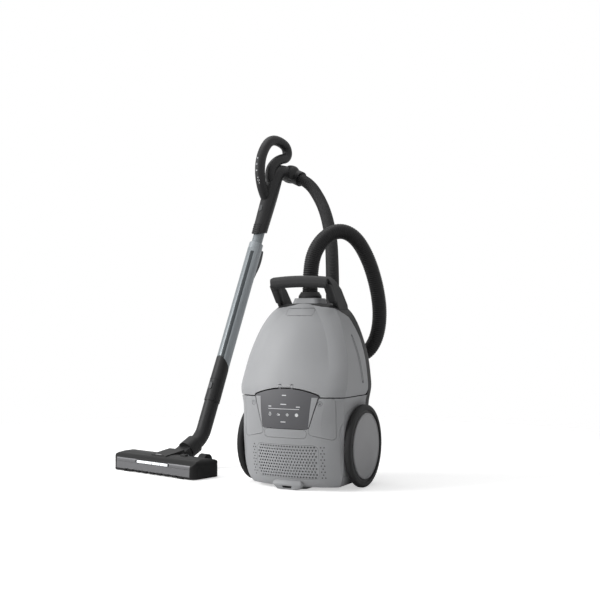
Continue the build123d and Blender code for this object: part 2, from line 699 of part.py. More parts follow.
# Dust lid: the dome's front, hinged at the top of the panel
with BuildPart() as dust_lid:
    add(skin.part)
    with BuildSketch(Plane.YZ):
        edge = rear_edge(-SEAM / 2)
        low = (edge[0][0], LID_SEAM_Z + SEAM)
        points = [(-BODY_REACH, low[1]), low, *edge, (edge[-1][0], BODY_TALL), (-BODY_REACH, BODY_TALL)]
        side_region(points, [(*low, LID_CORNER_RADIUS)])
    extrude(amount=BODY_REACH, both=True, mode=Mode.INTERSECT)
    with BuildSketch(FRONT_PLANE):
        panel_outline(HINGE_GAP)
    extrude(amount=FRONT_CUT_DEPTH, mode=Mode.SUBTRACT)
    with BuildSketch(FRONT_PLANE):
        latch_outline(FINE_SEAM)
    extrude(amount=FRONT_CUT_DEPTH, mode=Mode.SUBTRACT)
    with BuildSketch(Plane.YZ):
        with Locations((HINGE_Y, HINGE_Z)):
            Circle(HINGE_KNUCKLE_RADIUS)
    extrude(amount=HINGE_KNUCKLE_HALF, both=True)
    notch = HINGE_EAR_WIDTH + 2 * HINGE_SIDE_GAP
    for sign in SIDES.values():
        with Locations((sign * (HINGE_KNUCKLE_HALF + notch / 2), HINGE_Y, HINGE_Z)):
            Box(notch, 4 * HINGE_KNUCKLE_RADIUS, 3 * HINGE_KNUCKLE_RADIUS, mode=Mode.SUBTRACT)
    with BuildSketch(Plane.YZ):
        with Locations((HINGE_Y, HINGE_Z)):
            Circle(HINGE_PIN_RADIUS + PIN_CLEARANCE)
    extrude(amount=HINGE_KNUCKLE_HALF, both=True, mode=Mode.SUBTRACT)
pieces["dust_lid"] = dust_lid

with BuildPart() as lid_latch:
    add(skin.part)
    with BuildSketch(FRONT_PLANE):
        latch_outline(0)
    extrude(amount=FRONT_CUT_DEPTH, mode=Mode.INTERSECT)
pieces["lid_latch"] = lid_latch

# Pedals: power on the left, cord rewind on the right, each on a guide stem
for name, sign in {"power_pedal": -1, "rewind_pedal": 1}.items():
    with BuildPart() as pedal:
        add(skin.part)
        with BuildSketch(FRONT_PLANE):
            pedal_outline(sign, 0)
        extrude(amount=FRONT_CUT_DEPTH, mode=Mode.INTERSECT)
        with BuildSketch(Plane.XZ.offset(-PEDAL_STEM_END_Y)):
            with Locations((sign * PEDAL_STEM_X, PEDAL_STEM_Z)):
                Circle(PEDAL_STEM_RADIUS)
        extrude(amount=PEDAL_STEM_END_Y - PEDAL_STEM_START_Y)
    pieces[name] = pedal

with BuildPart() as pedal_bracket:
    with BuildSketch(Plane.XZ.offset(-BRACKET_Y)):
        with Locations((0, BULKHEAD_Z - BRACKET_HEIGHT / 2)):
            RectangleRounded(2 * BRACKET_HALF, BRACKET_HEIGHT, BRACKET_THICKNESS)
        with Locations((-PEDAL_STEM_X, PEDAL_STEM_Z), (PEDAL_STEM_X, PEDAL_STEM_Z)):
            Circle(PEDAL_STEM_RADIUS + FIT, mode=Mode.SUBTRACT)
    extrude(amount=-BRACKET_THICKNESS)
pieces["pedal_bracket"] = pedal_bracket

with BuildPart() as grille_catch:
    add(skin.part)
    with BuildSketch(FRONT_PLANE):
        catch_outline(0)
    extrude(amount=FRONT_CUT_DEPTH, mode=Mode.INTERSECT)
pieces["grille_catch"] = grille_catch

# Exhaust grille: a lift-off cover with a field of staggered holes
with BuildPart() as exhaust_grille:
    add(skin.part)
    with BuildSketch(FRONT_PLANE):
        grille_outline(0)
    extrude(amount=FRONT_CUT_DEPTH, mode=Mode.INTERSECT)
    with BuildSketch(FRONT_PLANE):
        middle = (GRILLE_BOTTOM_Z + GRILLE_TOP_Z) / 2
        for row in range(GRILLE_ROWS):
            height = middle + (row - (GRILLE_ROWS - 1) / 2) * GRILLE_PITCH_Z
            shift = GRILLE_PITCH_X / 4 * (1 if row % 2 else -1)
            with Locations((shift, height)):
                with GridLocations(GRILLE_PITCH_X, GRILLE_PITCH_Z, GRILLE_COLUMNS, 1):
                    Circle(GRILLE_HOLE_RADIUS)
    extrude(amount=FRONT_CUT_DEPTH, mode=Mode.SUBTRACT)
pieces["exhaust_grille"] = exhaust_grille

# Parking foot with the slot that holds the wand's hook
with BuildPart() as parking_foot:
    with BuildSketch():
        with Locations((0, (FOOT_FRONT_Y + FOOT_REAR_Y) / 2)):
            RectangleRounded(2 * FOOT_HALF, FOOT_REAR_Y - FOOT_FRONT_Y, FOOT_RADIUS)
        with Locations((0, (FOOT_FRONT_Y + FOOT_SLOT_END_Y) / 2)):
            Rectangle(2 * FOOT_SLOT_HALF, FOOT_SLOT_END_Y - FOOT_FRONT_Y, mode=Mode.SUBTRACT)
    extrude(amount=BODY_BASE)
pieces["parking_foot"] = parking_foot

with BuildPart() as inlet_collar:
    with BuildSketch(Plane.XY.offset(DOME_TOP - COLLAR_SKIRT)):
        with Locations((0, INLET_Y)):
            RectangleRounded(*COLLAR_BASE, COLLAR_RADIUS)
    with BuildSketch(Plane.XY.offset(COLLAR_Z)):
        with Locations((0, INLET_Y)):
            RectangleRounded(*COLLAR_TOP, COLLAR_RADIUS)
    loft()
    add(outer_form.part, mode=Mode.SUBTRACT)
    with Locations((0, INLET_Y, INLET_DUCT_END_Z)):
        Cylinder(INLET_DUCT_RADIUS, COLLAR_Z - INLET_DUCT_END_Z, align=BASE)
        Cylinder(INLET_BORE_RADIUS, COLLAR_Z - INLET_DUCT_END_Z, align=BASE, mode=Mode.SUBTRACT)
pieces["inlet_collar"] = inlet_collar

with BuildPart() as hose_cuff:
    with BuildSketch(Plane(origin=(0, INLET_Y, 0), x_dir=(1, 0, 0), z_dir=(0, -1, 0))):
        with BuildLine():
            Polyline(
                (CUFF_BORE_RADIUS, COLLAR_Z - CUFF_SPIGOT_LENGTH),
                (INLET_BORE_RADIUS - FIT, COLLAR_Z - CUFF_SPIGOT_LENGTH),
                (INLET_BORE_RADIUS - FIT, COLLAR_Z + RUN_GAP),
                (CUFF_BASE_RADIUS, COLLAR_Z + RUN_GAP),
                (CUFF_BASE_RADIUS, COLLAR_Z + RUN_GAP + CUFF_HEIGHT / 3),
                (CUFF_TOP_RADIUS, CUFF_TOP_Z),
                (CUFF_BORE_RADIUS, CUFF_TOP_Z),
                close=True,
            )
        make_face()
    revolve(axis=Axis((0, INLET_Y, 0), (0, 0, 1)))
pieces["hose_cuff"] = hose_cuff

# Inside: bulkhead, motor, filters, dust bag, board and cord reel
with BuildPart() as bulkhead:
    add(inner_form.part)
    with BuildSketch(Plane.XY.offset(BULKHEAD_Z)):
        with Locations((0, (BULKHEAD_FRONT_Y + BODY_REACH) / 2)):
            Rectangle(2 * BODY_REACH, BODY_REACH - BULKHEAD_FRONT_Y)
        with Locations((MOTOR_X, MOTOR_Y)):
            Circle(MOTOR_INTAKE_RADIUS, mode=Mode.SUBTRACT)
    extrude(amount=BULKHEAD_THICKNESS, mode=Mode.INTERSECT)
pieces["bulkhead"] = bulkhead

with BuildPart() as suction_motor:
    with Locations((MOTOR_X, MOTOR_Y, BULKHEAD_Z - MOTOR_LENGTH)):
        Cylinder(MOTOR_RADIUS, MOTOR_LENGTH, align=BASE)
    fillet(edges().group_by(Axis.Z)[0], MOTOR_RADIUS / 3)
pieces["suction_motor"] = suction_motor

with BuildPart() as motor_filter:
    with Locations((MOTOR_X / 2, MOTOR_Y, BULKHEAD_Z + BULKHEAD_THICKNESS)):
        Box(*FILTER_SIZE, align=BASE)
    fillet(edges().filter_by(Axis.Z), FILTER_SIZE[2])
pieces["motor_filter"] = motor_filter

with BuildPart() as dust_bag:
    bag_base_z = BULKHEAD_Z + BULKHEAD_THICKNESS + FILTER_SIZE[2] + BAG_GAP
    for height, width, depth in (
        (bag_base_z, BAG_FOOT[0], BAG_FOOT[1]),
        (BAG_BELLY_Z, BAG_BELLY[0], BAG_BELLY[1]),
        (BAG_TOP_Z - BAG_GAP, BAG_NECK[0], BAG_NECK[1]),
    ):
        with BuildSketch(Plane.XY.offset(height)):
            with Locations((0, INLET_Y)):
                RectangleRounded(width, depth, BAG_RADIUS)
    loft()
pieces["dust_bag"] = dust_bag

with BuildPart() as bag_holder:
    add(inner_form.part)
    with BuildSketch(Plane.XY.offset(BAG_TOP_Z)):
        with Locations((0, (BAG_HOLDER_FRONT_Y + BODY_REACH) / 2)):
            Rectangle(2 * BAG_HOLDER_HALF, BODY_REACH - BAG_HOLDER_FRONT_Y)
        with Locations((0, INLET_Y)):
            Circle(INLET_BORE_RADIUS, mode=Mode.SUBTRACT)
    extrude(amount=BAG_HOLDER_THICKNESS, mode=Mode.INTERSECT)
    with BuildSketch(Plane.XZ.offset(WALL - CASTOR_CUP_FLOOR_Y + BAG_GAP)):
        with Locations((0, CASTOR_Z)):
            Circle(CASTOR_CUP_RADIUS + WALL + BAG_GAP)
    extrude(amount=-CASTOR_CUP_FLOOR_Y, mode=Mode.SUBTRACT)
pieces["bag_holder"] = bag_holder

with BuildPart() as hepa_filter:
    with Locations((0, HEPA_FRONT_Y + HEPA_SIZE[1] / 2, BODY_BASE + WALL)):
        Box(*HEPA_SIZE, align=BASE)
pieces["hepa_filter"] = hepa_filter

with BuildPart() as circuit_board:
    with BuildSketch(Plane.XZ.offset(-BOARD_Y)):
        with Locations((0, (BOARD_BOTTOM_Z + BOARD_TOP_Z) / 2)):
            RectangleRounded(2 * BOARD_HALF, BOARD_TOP_Z - BOARD_BOTTOM_Z, POST_RADIUS)
    extrude(amount=-BOARD_THICKNESS)
pieces["circuit_board"] = circuit_board

with BuildPart() as cord_reel:
    with BuildSketch(Plane.XZ.offset(-REEL_FRONT_Y)):
        with Locations((REEL_X, REEL_Z)):
            Circle(REEL_DRUM_RADIUS)
    extrude(amount=-REEL_WIDTH)
    for start in (REEL_FRONT_Y, REEL_FRONT_Y + REEL_WIDTH - REEL_FLANGE):
        with BuildSketch(Plane.XZ.offset(-start)):
            with Locations((REEL_X, REEL_Z)):
                Circle(REEL_RADIUS)
        extrude(amount=-REEL_FLANGE)
    with BuildSketch(Plane.XZ.offset(-REEL_FRONT_Y)):
        with Locations((REEL_X, REEL_Z)):
            Circle(REEL_POST_RADIUS + PIN_CLEARANCE)
    extrude(amount=-REEL_WIDTH, mode=Mode.SUBTRACT)
pieces["cord_reel"] = cord_reel

with BuildPart() as cord_gland:
    with Locations((GLAND_X, GLAND_Y, BODY_BASE - GLAND_FLANGE)):
        Cylinder(GLAND_RADIUS + GLAND_FLANGE, GLAND_FLANGE, align=BASE)
        Cylinder(GLAND_RADIUS, GLAND_FLANGE + WALL, align=BASE)
        Cylinder(GLAND_BORE_RADIUS, GLAND_FLANGE + WALL, align=BASE, mode=Mode.SUBTRACT)
pieces["cord_gland"] = cord_gland

# Wheels: stub axles, cores, tyres and hub caps
axle_line = Axis((0, WHEEL_AXLE_Y, WHEEL_AXLE_Z), (1, 0, 0))
axle_plane = Plane(origin=(0, WHEEL_AXLE_Y, WHEEL_AXLE_Z), x_dir=(1, 0, 0), z_dir=(0, -1, 0))
core_outer_x = WHEEL_INNER_X + WHEEL_WIDTH - HUB_CAP_DOME
hub_outer_x = core_outer_x - AXLE_HEAD_THICKNESS - RUN_GAP
with BuildPart() as wheel_axles:
    for sign in SIDES.values():
        with BuildSketch(axle_plane):
            with BuildLine():
                Polyline(
                    (sign * AXLE_INNER_X, 0),
                    (sign * AXLE_INNER_X, AXLE_RADIUS),
                    (sign * (hub_outer_x + PIN_CLEARANCE), AXLE_RADIUS),
                    (sign * (hub_outer_x + PIN_CLEARANCE), AXLE_HEAD_RADIUS),
                    (sign * (hub_outer_x + AXLE_HEAD_THICKNESS), AXLE_HEAD_RADIUS),
                    (sign * (hub_outer_x + AXLE_HEAD_THICKNESS), 0),
                    close=True,
                )
            make_face()
        revolve(axis=axle_line)
pieces["wheel_axles"] = wheel_axles

for side, sign in SIDES.items():
    with BuildPart() as wheel_core:
        with BuildSketch(axle_plane):
            with BuildLine():
                Polyline(
                    (sign * (WHEEL_INNER_X + RUN_GAP), AXLE_RADIUS + PIN_CLEARANCE),
                    (sign * (WHEEL_INNER_X + RUN_GAP), TYRE_BORE_RADIUS),
                    (sign * core_outer_x, TYRE_BORE_RADIUS),
                    (sign * core_outer_x, TYRE_BORE_RADIUS - WHEEL_RIM),
                    (sign * (WHEEL_INNER_X + WHEEL_WEB), TYRE_BORE_RADIUS - 1.5 * WHEEL_RIM),
                    (sign * (WHEEL_INNER_X + WHEEL_WEB), 2 * AXLE_HEAD_RADIUS),
                    (sign * hub_outer_x, AXLE_HEAD_RADIUS + WHEEL_RIM / 2),
                    (sign * hub_outer_x, AXLE_RADIUS + PIN_CLEARANCE),
                    close=True,
                )
            make_face()
        revolve(axis=axle_line)
    pieces[f"wheel_core_{side}"] = wheel_core
    with BuildPart() as tyre:
        with BuildSketch(axle_plane):
            with Locations((sign * (WHEEL_INNER_X + WHEEL_WIDTH / 2), (WHEEL_RADIUS + TYRE_BORE_RADIUS) / 2)):
                Rectangle(WHEEL_WIDTH, WHEEL_RADIUS - TYRE_BORE_RADIUS)
            fillet(vertices().group_by(Axis.Y)[-1], TYRE_SHOULDER)
        revolve(axis=axle_line)
    pieces[f"tyre_{side}"] = tyre
    with BuildPart() as hub_cap:
        with BuildSketch(axle_plane):
            inner, outer = sign * core_outer_x, sign * (core_outer_x + HUB_CAP_THICKNESS)
            with BuildLine():
                Polyline((outer, HUB_CAP_RADIUS), (inner, HUB_CAP_RADIUS), (inner, 0), (outer + sign * HUB_CAP_DOME, 0))
                arc_middle = (outer + sign * HUB_CAP_DOME * 3 / 4, HUB_CAP_RADIUS / 2)
                ThreePointArc((outer + sign * HUB_CAP_DOME, 0), arc_middle, (outer, HUB_CAP_RADIUS))
            make_face()
        revolve(axis=axle_line)
    pieces[f"hub_cap_{side}"] = hub_cap

# Castor under the nose
castor_wheel_y = GROUND_REACH_Y - CASTOR_WHEEL_RADIUS
castor_wheel_z = CASTOR_Z - CASTOR_TRAIL
cheek_inner = CASTOR_WHEEL_WIDTH / 2 + RUN_GAP
with BuildPart() as castor_fork:
    plate_y = CASTOR_CUP_FLOOR_Y + RUN_GAP
    with BuildSketch(Plane.XZ.offset(-plate_y)):
        with Locations((0, CASTOR_Z)):
            Circle(CASTOR_PLATE_RADIUS)
    extrude(amount=-CASTOR_PLATE_THICKNESS)
    with BuildSketch(Plane.XZ.offset(-plate_y)):
        with Locations((0, CASTOR_Z)):
            Circle(CASTOR_SPIGOT_RADIUS)
    extrude(amount=WALL + RUN_GAP)
    for sign in SIDES.values():
        with BuildSketch(Plane.YZ.offset(sign * cheek_inner)):
            cheek = 2 * CASTOR_PIN_RADIUS + CASTOR_CHEEK
            with BuildLine():
                Polyline(
                    (plate_y + CASTOR_PLATE_THICKNESS / 2, castor_wheel_z - cheek),
                    (castor_wheel_y, castor_wheel_z - cheek),
                    (castor_wheel_y, castor_wheel_z + cheek),
                    (plate_y + CASTOR_PLATE_THICKNESS / 2, castor_wheel_z + cheek),
                    close=True,
                )
            make_face()
            with Locations((castor_wheel_y, castor_wheel_z)):
                Circle(cheek)
        extrude(amount=sign * CASTOR_CHEEK)
    with BuildSketch(Plane.YZ):
        with Locations((castor_wheel_y, castor_wheel_z)):
            Circle(CASTOR_PIN_RADIUS)
    extrude(amount=cheek_inner, both=True)
pieces["castor_fork"] = castor_fork

with BuildPart() as castor_wheel:
    with BuildSketch(Plane.YZ):
        with Locations((castor_wheel_y, castor_wheel_z)):
            Circle(CASTOR_WHEEL_RADIUS)
            Circle(CASTOR_PIN_RADIUS + PIN_CLEARANCE, mode=Mode.SUBTRACT)
    extrude(amount=CASTOR_WHEEL_WIDTH / 2, both=True)
    fillet(edges().filter_by(GeomType.CIRCLE).group_by(SortBy.RADIUS)[-1], CASTOR_CHEEK)
pieces["castor_wheel"] = castor_wheel

# Floor nozzle: cover, base, lamp strip, brush roll, drive and rear wheels
pivot_point = NOZZLE.from_local_coords((0, PIVOT_Y, PIVOT_Z))
pivot_plane = Plane(origin=pivot_point, x_dir=NORTH, z_dir=EAST)
nozzle_forms = {}
for inset in (0, NOZZLE_WALL):
    with BuildPart() as nozzle_form:
        with BuildSketch(NOZZLE_SIDE):
            nozzle_profile(inset)
        extrude(amount=NOZZLE_WIDTH / 2, both=True)
        with BuildSketch(NOZZLE):
            with Locations((0, NOZZLE_DEPTH / 2)):
                RectangleRounded(NOZZLE_WIDTH - 2 * inset, NOZZLE_DEPTH - 2 * inset, NOZZLE_CORNER - inset)
        extrude(amount=2 * NOZZLE_TOP_HEIGHT, mode=Mode.INTERSECT)
        with BuildSketch(Plane(origin=NOZZLE_AT, x_dir=EAST, z_dir=-NORTH)):
            RectangleRounded(NOZZLE_WIDTH - 2 * inset, 2 * (NOZZLE_TOP_HEIGHT - inset), NOZZLE_SHOULDER - inset)
        extrude(amount=-NOZZLE_DEPTH, mode=Mode.INTERSECT)
    nozzle_forms[inset] = nozzle_form
with BuildPart() as nozzle_cover:
    add(nozzle_forms[0].part)
    add(nozzle_forms[NOZZLE_WALL].part, mode=Mode.SUBTRACT)
    with BuildSketch(NOZZLE):
        with Locations((0, NOZZLE_DEPTH / 2)):
            RectangleRounded(NOZZLE_WIDTH - 2 * NOZZLE_WALL, NOZZLE_DEPTH - 2 * NOZZLE_WALL, NOZZLE_CORNER)
    extrude(amount=NOZZLE_CLEAR + BASE_THICKNESS, mode=Mode.SUBTRACT)
    with BuildSketch(NOZZLE_SIDE):
        with BuildLine():
            Polyline(
                (SHROUD_FRONT_Y, NOZZLE_TOP_HEIGHT - 2 * NOZZLE_WALL),
                (SHROUD_FRONT_Y + NOZZLE_WALL, NOZZLE_TOP_HEIGHT),
                (PIVOT_Y - PIVOT_RADIUS, SHROUD_TOP_Z),
                (PIVOT_Y - PIVOT_RADIUS, NOZZLE_TOP_HEIGHT - 4 * NOZZLE_WALL),
                close=True,
            )
        make_face()
    extrude(amount=PIVOT_HALF + PIVOT_EAR, both=True)
    for sign in SIDES.values():
        with BuildSketch(pivot_plane.offset(sign * (PIVOT_HALF + PIVOT_GAP))):
            with BuildLine():
                Polyline(
                    (-2 * PIVOT_RADIUS, PIVOT_RADIUS), (0, PIVOT_RADIUS), (0, -PIVOT_RADIUS),
                    (-2 * PIVOT_RADIUS, -2 * PIVOT_RADIUS), close=True,
                )
            make_face()
            Circle(PIVOT_RADIUS)
        extrude(amount=sign * PIVOT_EAR)
    with BuildSketch(pivot_plane):
        Circle(PIVOT_RADIUS + PIVOT_GAP)
    extrude(amount=PIVOT_HALF + PIVOT_GAP, both=True, mode=Mode.SUBTRACT)
    with BuildSketch(pivot_plane):
        Circle(PIVOT_PIN_RADIUS)
    extrude(amount=NOZZLE_DEPTH, both=True, mode=Mode.SUBTRACT)
    with BuildSketch(Plane(origin=NOZZLE_AT, x_dir=EAST, z_dir=-NORTH)):
        with Locations((0, NOZZLE_CLEAR)):
            with GridLocations(NOTCH_PITCH, 1, NOTCH_COUNT, 1):
                Rectangle(NOTCH_WIDTH, 2 * NOTCH_HEIGHT)
    extrude(amount=-2 * NOZZLE_WALL, mode=Mode.SUBTRACT)
    with BuildSketch(Plane(origin=NOZZLE_AT, x_dir=EAST, z_dir=-NORTH)):
        with Locations((0, NOZZLE_FRONT_HEIGHT - LED_HEIGHT)):
            Rectangle(2 * (LED_HALF + LED_GAP), LED_HEIGHT + 2 * LED_GAP)
    extrude(amount=-2 * LED_DEPTH, mode=Mode.SUBTRACT)
pieces["nozzle_cover"] = nozzle_cover

with BuildPart() as led_lens:
    with BuildSketch(Plane(origin=NOZZLE_AT, x_dir=EAST, z_dir=-NORTH)):
        with Locations((0, NOZZLE_FRONT_HEIGHT - LED_HEIGHT)):
            RectangleRounded(2 * LED_HALF, LED_HEIGHT, LED_HEIGHT / 3)
    extrude(amount=-(NOZZLE_WALL + LED_DEPTH))
pieces["led_lens"] = led_lens

with BuildPart() as pivot_pin:
    with BuildSketch(pivot_plane):
        Circle(PIVOT_PIN_RADIUS)
    extrude(amount=PIVOT_HALF + PIVOT_GAP + PIVOT_EAR, both=True)
pieces["pivot_pin"] = pivot_pin

brush_plane = along(NOZZLE_SIDE, BRUSH_Y, BRUSH_Z, 0)
bearing_x = BRUSH_HALF + PIVOT_GAP
wheel_plane = along(NOZZLE_SIDE, REAR_WHEEL_Y, REAR_WHEEL_RADIUS, 0)
with BuildPart() as nozzle_base:
    with BuildSketch(NOZZLE.offset(NOZZLE_CLEAR)):
        inset = 2 * (NOZZLE_WALL + LED_GAP)
        with Locations((0, NOZZLE_DEPTH / 2)):
            RectangleRounded(NOZZLE_WIDTH - inset, NOZZLE_DEPTH - inset, NOZZLE_CORNER)
        with Locations((0, BRUSH_Y)):
            RectangleRounded(2 * BRUSH_HALF + 1, 2 * BRUSH_RADIUS, NOZZLE_WALL, mode=Mode.SUBTRACT)
        with Locations((-REAR_WHEEL_X, REAR_WHEEL_Y), (REAR_WHEEL_X, REAR_WHEEL_Y)):
            Rectangle(REAR_WHEEL_WIDTH + 1, 2 * REAR_WHEEL_RADIUS, mode=Mode.SUBTRACT)
    extrude(amount=BASE_THICKNESS)
    for sign in SIDES.values():
        with BuildSketch(brush_plane.offset(sign * bearing_x)):
            with Locations((0, (NOZZLE_CLEAR + BASE_THICKNESS - BRUSH_Z) / 2)):
                Rectangle(2 * BEARING_RADIUS, BRUSH_Z - NOZZLE_CLEAR - BASE_THICKNESS)
            Circle(BEARING_RADIUS)
            Circle(STUB_RADIUS + PIN_CLEARANCE, mode=Mode.SUBTRACT)
        extrude(amount=sign * BEARING_WIDTH)
        for end in (-1, 1):
            arm_x = sign * REAR_WHEEL_X + end * (REAR_WHEEL_WIDTH / 2 + RUN_GAP)
            with BuildSketch(wheel_plane.offset(arm_x)):
                Rectangle(2 * REAR_ARM, 2 * (REAR_WHEEL_RADIUS - NOZZLE_CLEAR))
                Circle(REAR_WHEEL_PIN_RADIUS + PIN_CLEARANCE, mode=Mode.SUBTRACT)
            extrude(amount=end * REAR_ARM)
    with BuildSketch(NOZZLE):
        with Locations((-RUNNER_X, RUNNER_Y), (RUNNER_X, RUNNER_Y)):
            RectangleRounded(RUNNER_LENGTH, RUNNER_WIDTH, RUNNER_WIDTH / 3)
    extrude(amount=NOZZLE_CLEAR)
pieces["nozzle_base"] = nozzle_base

with BuildPart() as brush_roll:
    with BuildSketch(brush_plane):
        Circle(BRUSH_CORE_RADIUS)
        with PolarLocations(0, BRUSH_STRIPS):
            with Locations((BRUSH_RADIUS / 2, 0)):
                Rectangle(BRUSH_RADIUS, BRUSH_STRIP)
    extrude(amount=BRUSH_HALF, both=True)
    with BuildSketch(brush_plane):
        Circle(STUB_RADIUS)
    extrude(amount=BELT_WIDTH / 2 - BELT_X, both=True)
    with BuildSketch(brush_plane.offset(BELT_X - BELT_WIDTH / 2)):
        Circle(PULLEY_RADIUS)
    extrude(amount=BELT_WIDTH)
pieces["brush_roll"] = brush_roll

with BuildPart() as nozzle_motor:
    motor_plane = along(NOZZLE_SIDE, NOZZLE_MOTOR_Y, NOZZLE_MOTOR_Z, 0)
    with BuildSketch(motor_plane.offset(NOZZLE_MOTOR_X)):
        Circle(NOZZLE_MOTOR_RADIUS)
    extrude(amount=NOZZLE_MOTOR_LENGTH)
    with BuildSketch(motor_plane.offset(BELT_X - BELT_WIDTH / 2)):
        Circle(REAR_WHEEL_PIN_RADIUS)
    extrude(amount=NOZZLE_MOTOR_X - BELT_X + BELT_WIDTH)
    with BuildSketch(motor_plane.offset(BELT_X - BELT_WIDTH / 2)):
        Circle(PULLEY_RADIUS)
    extrude(amount=BELT_WIDTH)
pieces["nozzle_motor"] = nozzle_motor

with BuildPart() as drive_belt:
    with BuildSketch(along(NOZZLE_SIDE, 0, 0, BELT_X - BELT_WIDTH / 2)):
        span = Vector(NOZZLE_MOTOR_Y - BRUSH_Y, NOZZLE_MOTOR_Z - BRUSH_Z)
        tilt = degrees(atan2(span.Y, span.X))
        with Locations(((NOZZLE_MOTOR_Y + BRUSH_Y) / 2, (NOZZLE_MOTOR_Z + BRUSH_Z) / 2)):
            SlotCenterToCenter(span.length, 2 * (PULLEY_RADIUS + FIT + BELT_THICKNESS), rotation=tilt)
            SlotCenterToCenter(span.length, 2 * (PULLEY_RADIUS + FIT), rotation=tilt, mode=Mode.SUBTRACT)
    extrude(amount=BELT_WIDTH)
pieces["drive_belt"] = drive_belt

for side, sign in SIDES.items():
    with BuildPart() as rear_wheel:
        with BuildSketch(wheel_plane.offset(sign * REAR_WHEEL_X)):
            Circle(REAR_WHEEL_RADIUS)
        extrude(amount=REAR_WHEEL_WIDTH / 2, both=True)
        fillet(edges().filter_by(GeomType.CIRCLE), FIT * 10)
        with BuildSketch(wheel_plane.offset(sign * REAR_WHEEL_X)):
            Circle(REAR_WHEEL_PIN_RADIUS)
        extrude(amount=REAR_WHEEL_WIDTH / 2 + RUN_GAP + REAR_ARM, both=True)
    pieces[f"nozzle_wheel_{side}"] = rear_wheel

# Neck: a fork that swivels on the elbow and holds the nozzle's pivot
neck_axis = NORTH * cos(radians(NECK_RISE)) + UP * sin(radians(NECK_RISE))
neck_plane = Plane(origin=pivot_point, x_dir=EAST, z_dir=neck_axis)
neck_side = Plane(origin=pivot_point, x_dir=neck_axis, z_dir=EAST)
with BuildPart() as neck_fork:
    with BuildSketch(neck_side):
        Circle(PIVOT_RADIUS)
        with Locations((FORK_COLLAR_AT / 2, 0)):
            Rectangle(FORK_COLLAR_AT, 2 * PIVOT_RADIUS)
    extrude(amount=PIVOT_HALF, both=True)
    with BuildSketch(neck_plane.offset(FORK_COLLAR_AT)):
        Circle(FORK_RADIUS)
    extrude(amount=FORK_END - FORK_COLLAR_AT)
    with BuildSketch(pivot_plane):
        Circle(PIVOT_PIN_RADIUS + PIN_CLEARANCE)
    extrude(amount=PIVOT_HALF, both=True, mode=Mode.SUBTRACT)
    with BuildSketch(neck_plane.offset(FORK_END - TWIST_SPIGOT)):
        Circle(TWIST_SPIGOT_RADIUS + FIT)
    extrude(amount=TWIST_SPIGOT, mode=Mode.SUBTRACT)
pieces["neck_fork"] = neck_fork

with BuildPart() as neck_elbow:
    start = pivot_point + neck_axis * (FORK_END + RUN_GAP)
    wand_reach = WAND_FOOT - pivot_point
    across = neck_axis.cross(WAND_AXIS).length
    corner = pivot_point + neck_axis * (wand_reach.cross(WAND_AXIS).length / across)
    finish = WAND.from_local_coords((0, 0, NECK_TOP))
    with BuildLine() as neck_path:
        FilletPolyline(start, corner, finish, radius=NECK_BEND_RADIUS)
    with BuildSketch(Plane(origin=start, x_dir=EAST, z_dir=neck_axis)):
        Circle(NECK_RADIUS)
    sweep()
    with BuildSketch(Plane(origin=start, x_dir=EAST, z_dir=neck_axis)):
        Circle(TWIST_SPIGOT_RADIUS)
    extrude(amount=-(TWIST_SPIGOT - RUN_GAP))
    with BuildSketch(WAND.offset(NECK_TOP)):
        Circle(OUTER_TUBE_RADIUS)
    extrude(amount=OUTER_TUBE_BOTTOM - NECK_TOP)
pieces["neck_elbow"] = neck_elbow

# Wand: lower sleeve, outer tube, guide collar, catch and inner tube
with BuildPart() as tube_sleeve:
    with BuildSketch(WAND.offset(NECK_TOP)):
        Circle(SLEEVE_RADIUS)
    extrude(amount=SLEEVE_FRONT_TOP - NECK_TOP, taper=SLEEVE_TAPER)
    with BuildSketch(WAND_SIDE):
        with BuildLine():
            Polyline(
                (-SLEEVE_RADIUS, SLEEVE_FRONT_TOP), (SLEEVE_RADIUS, SLEEVE_REAR_TOP),
                (2 * SLEEVE_RADIUS, SLEEVE_REAR_TOP), (2 * SLEEVE_RADIUS, OUTER_TUBE_TOP),
                (-SLEEVE_RADIUS, OUTER_TUBE_TOP), close=True,
            )
        make_face()
    extrude(amount=2 * SLEEVE_RADIUS, both=True, mode=Mode.SUBTRACT)
    with BuildSketch(WAND.offset(NECK_TOP)):
        Circle(OUTER_TUBE_RADIUS + PIN_CLEARANCE)
    extrude(amount=SLEEVE_FRONT_TOP - NECK_TOP, mode=Mode.SUBTRACT)
    with BuildSketch(along(Plane(origin=WAND_FOOT, x_dir=EAST, z_dir=-WAND.y_dir), 0, TUBE_BUTTON_AT, POCKET_AT)):
        SlotOverall(TUBE_BUTTON_LENGTH + 2 * BUTTON_GAP, TUBE_BUTTON_WIDTH + 2 * BUTTON_GAP, rotation=90)
    extrude(amount=SLEEVE_RADIUS, mode=Mode.SUBTRACT)
pieces["tube_sleeve"] = tube_sleeve

with BuildPart() as tube_lock_button:
    with BuildSketch(along(Plane(origin=WAND_FOOT, x_dir=EAST, z_dir=-WAND.y_dir), 0, TUBE_BUTTON_AT, BUTTON_AT)):
        SlotOverall(TUBE_BUTTON_LENGTH, TUBE_BUTTON_WIDTH, rotation=90)
    extrude(amount=SLEEVE_RADIUS + BUTTON_PROUD - BUTTON_AT)
    fillet(faces().sort_by(Axis(WAND_FOOT, -WAND.y_dir))[-1].edges(), BUTTON_PROUD / 2)
pieces["tube_lock_button"] = tube_lock_button

with BuildPart() as outer_tube:
    with BuildSketch(WAND.offset(OUTER_TUBE_BOTTOM)):
        Circle(OUTER_TUBE_RADIUS)
        Circle(OUTER_TUBE_RADIUS - OUTER_TUBE_WALL, mode=Mode.SUBTRACT)
    extrude(amount=OUTER_TUBE_TOP - OUTER_TUBE_BOTTOM)
pieces["outer_tube"] = outer_tube

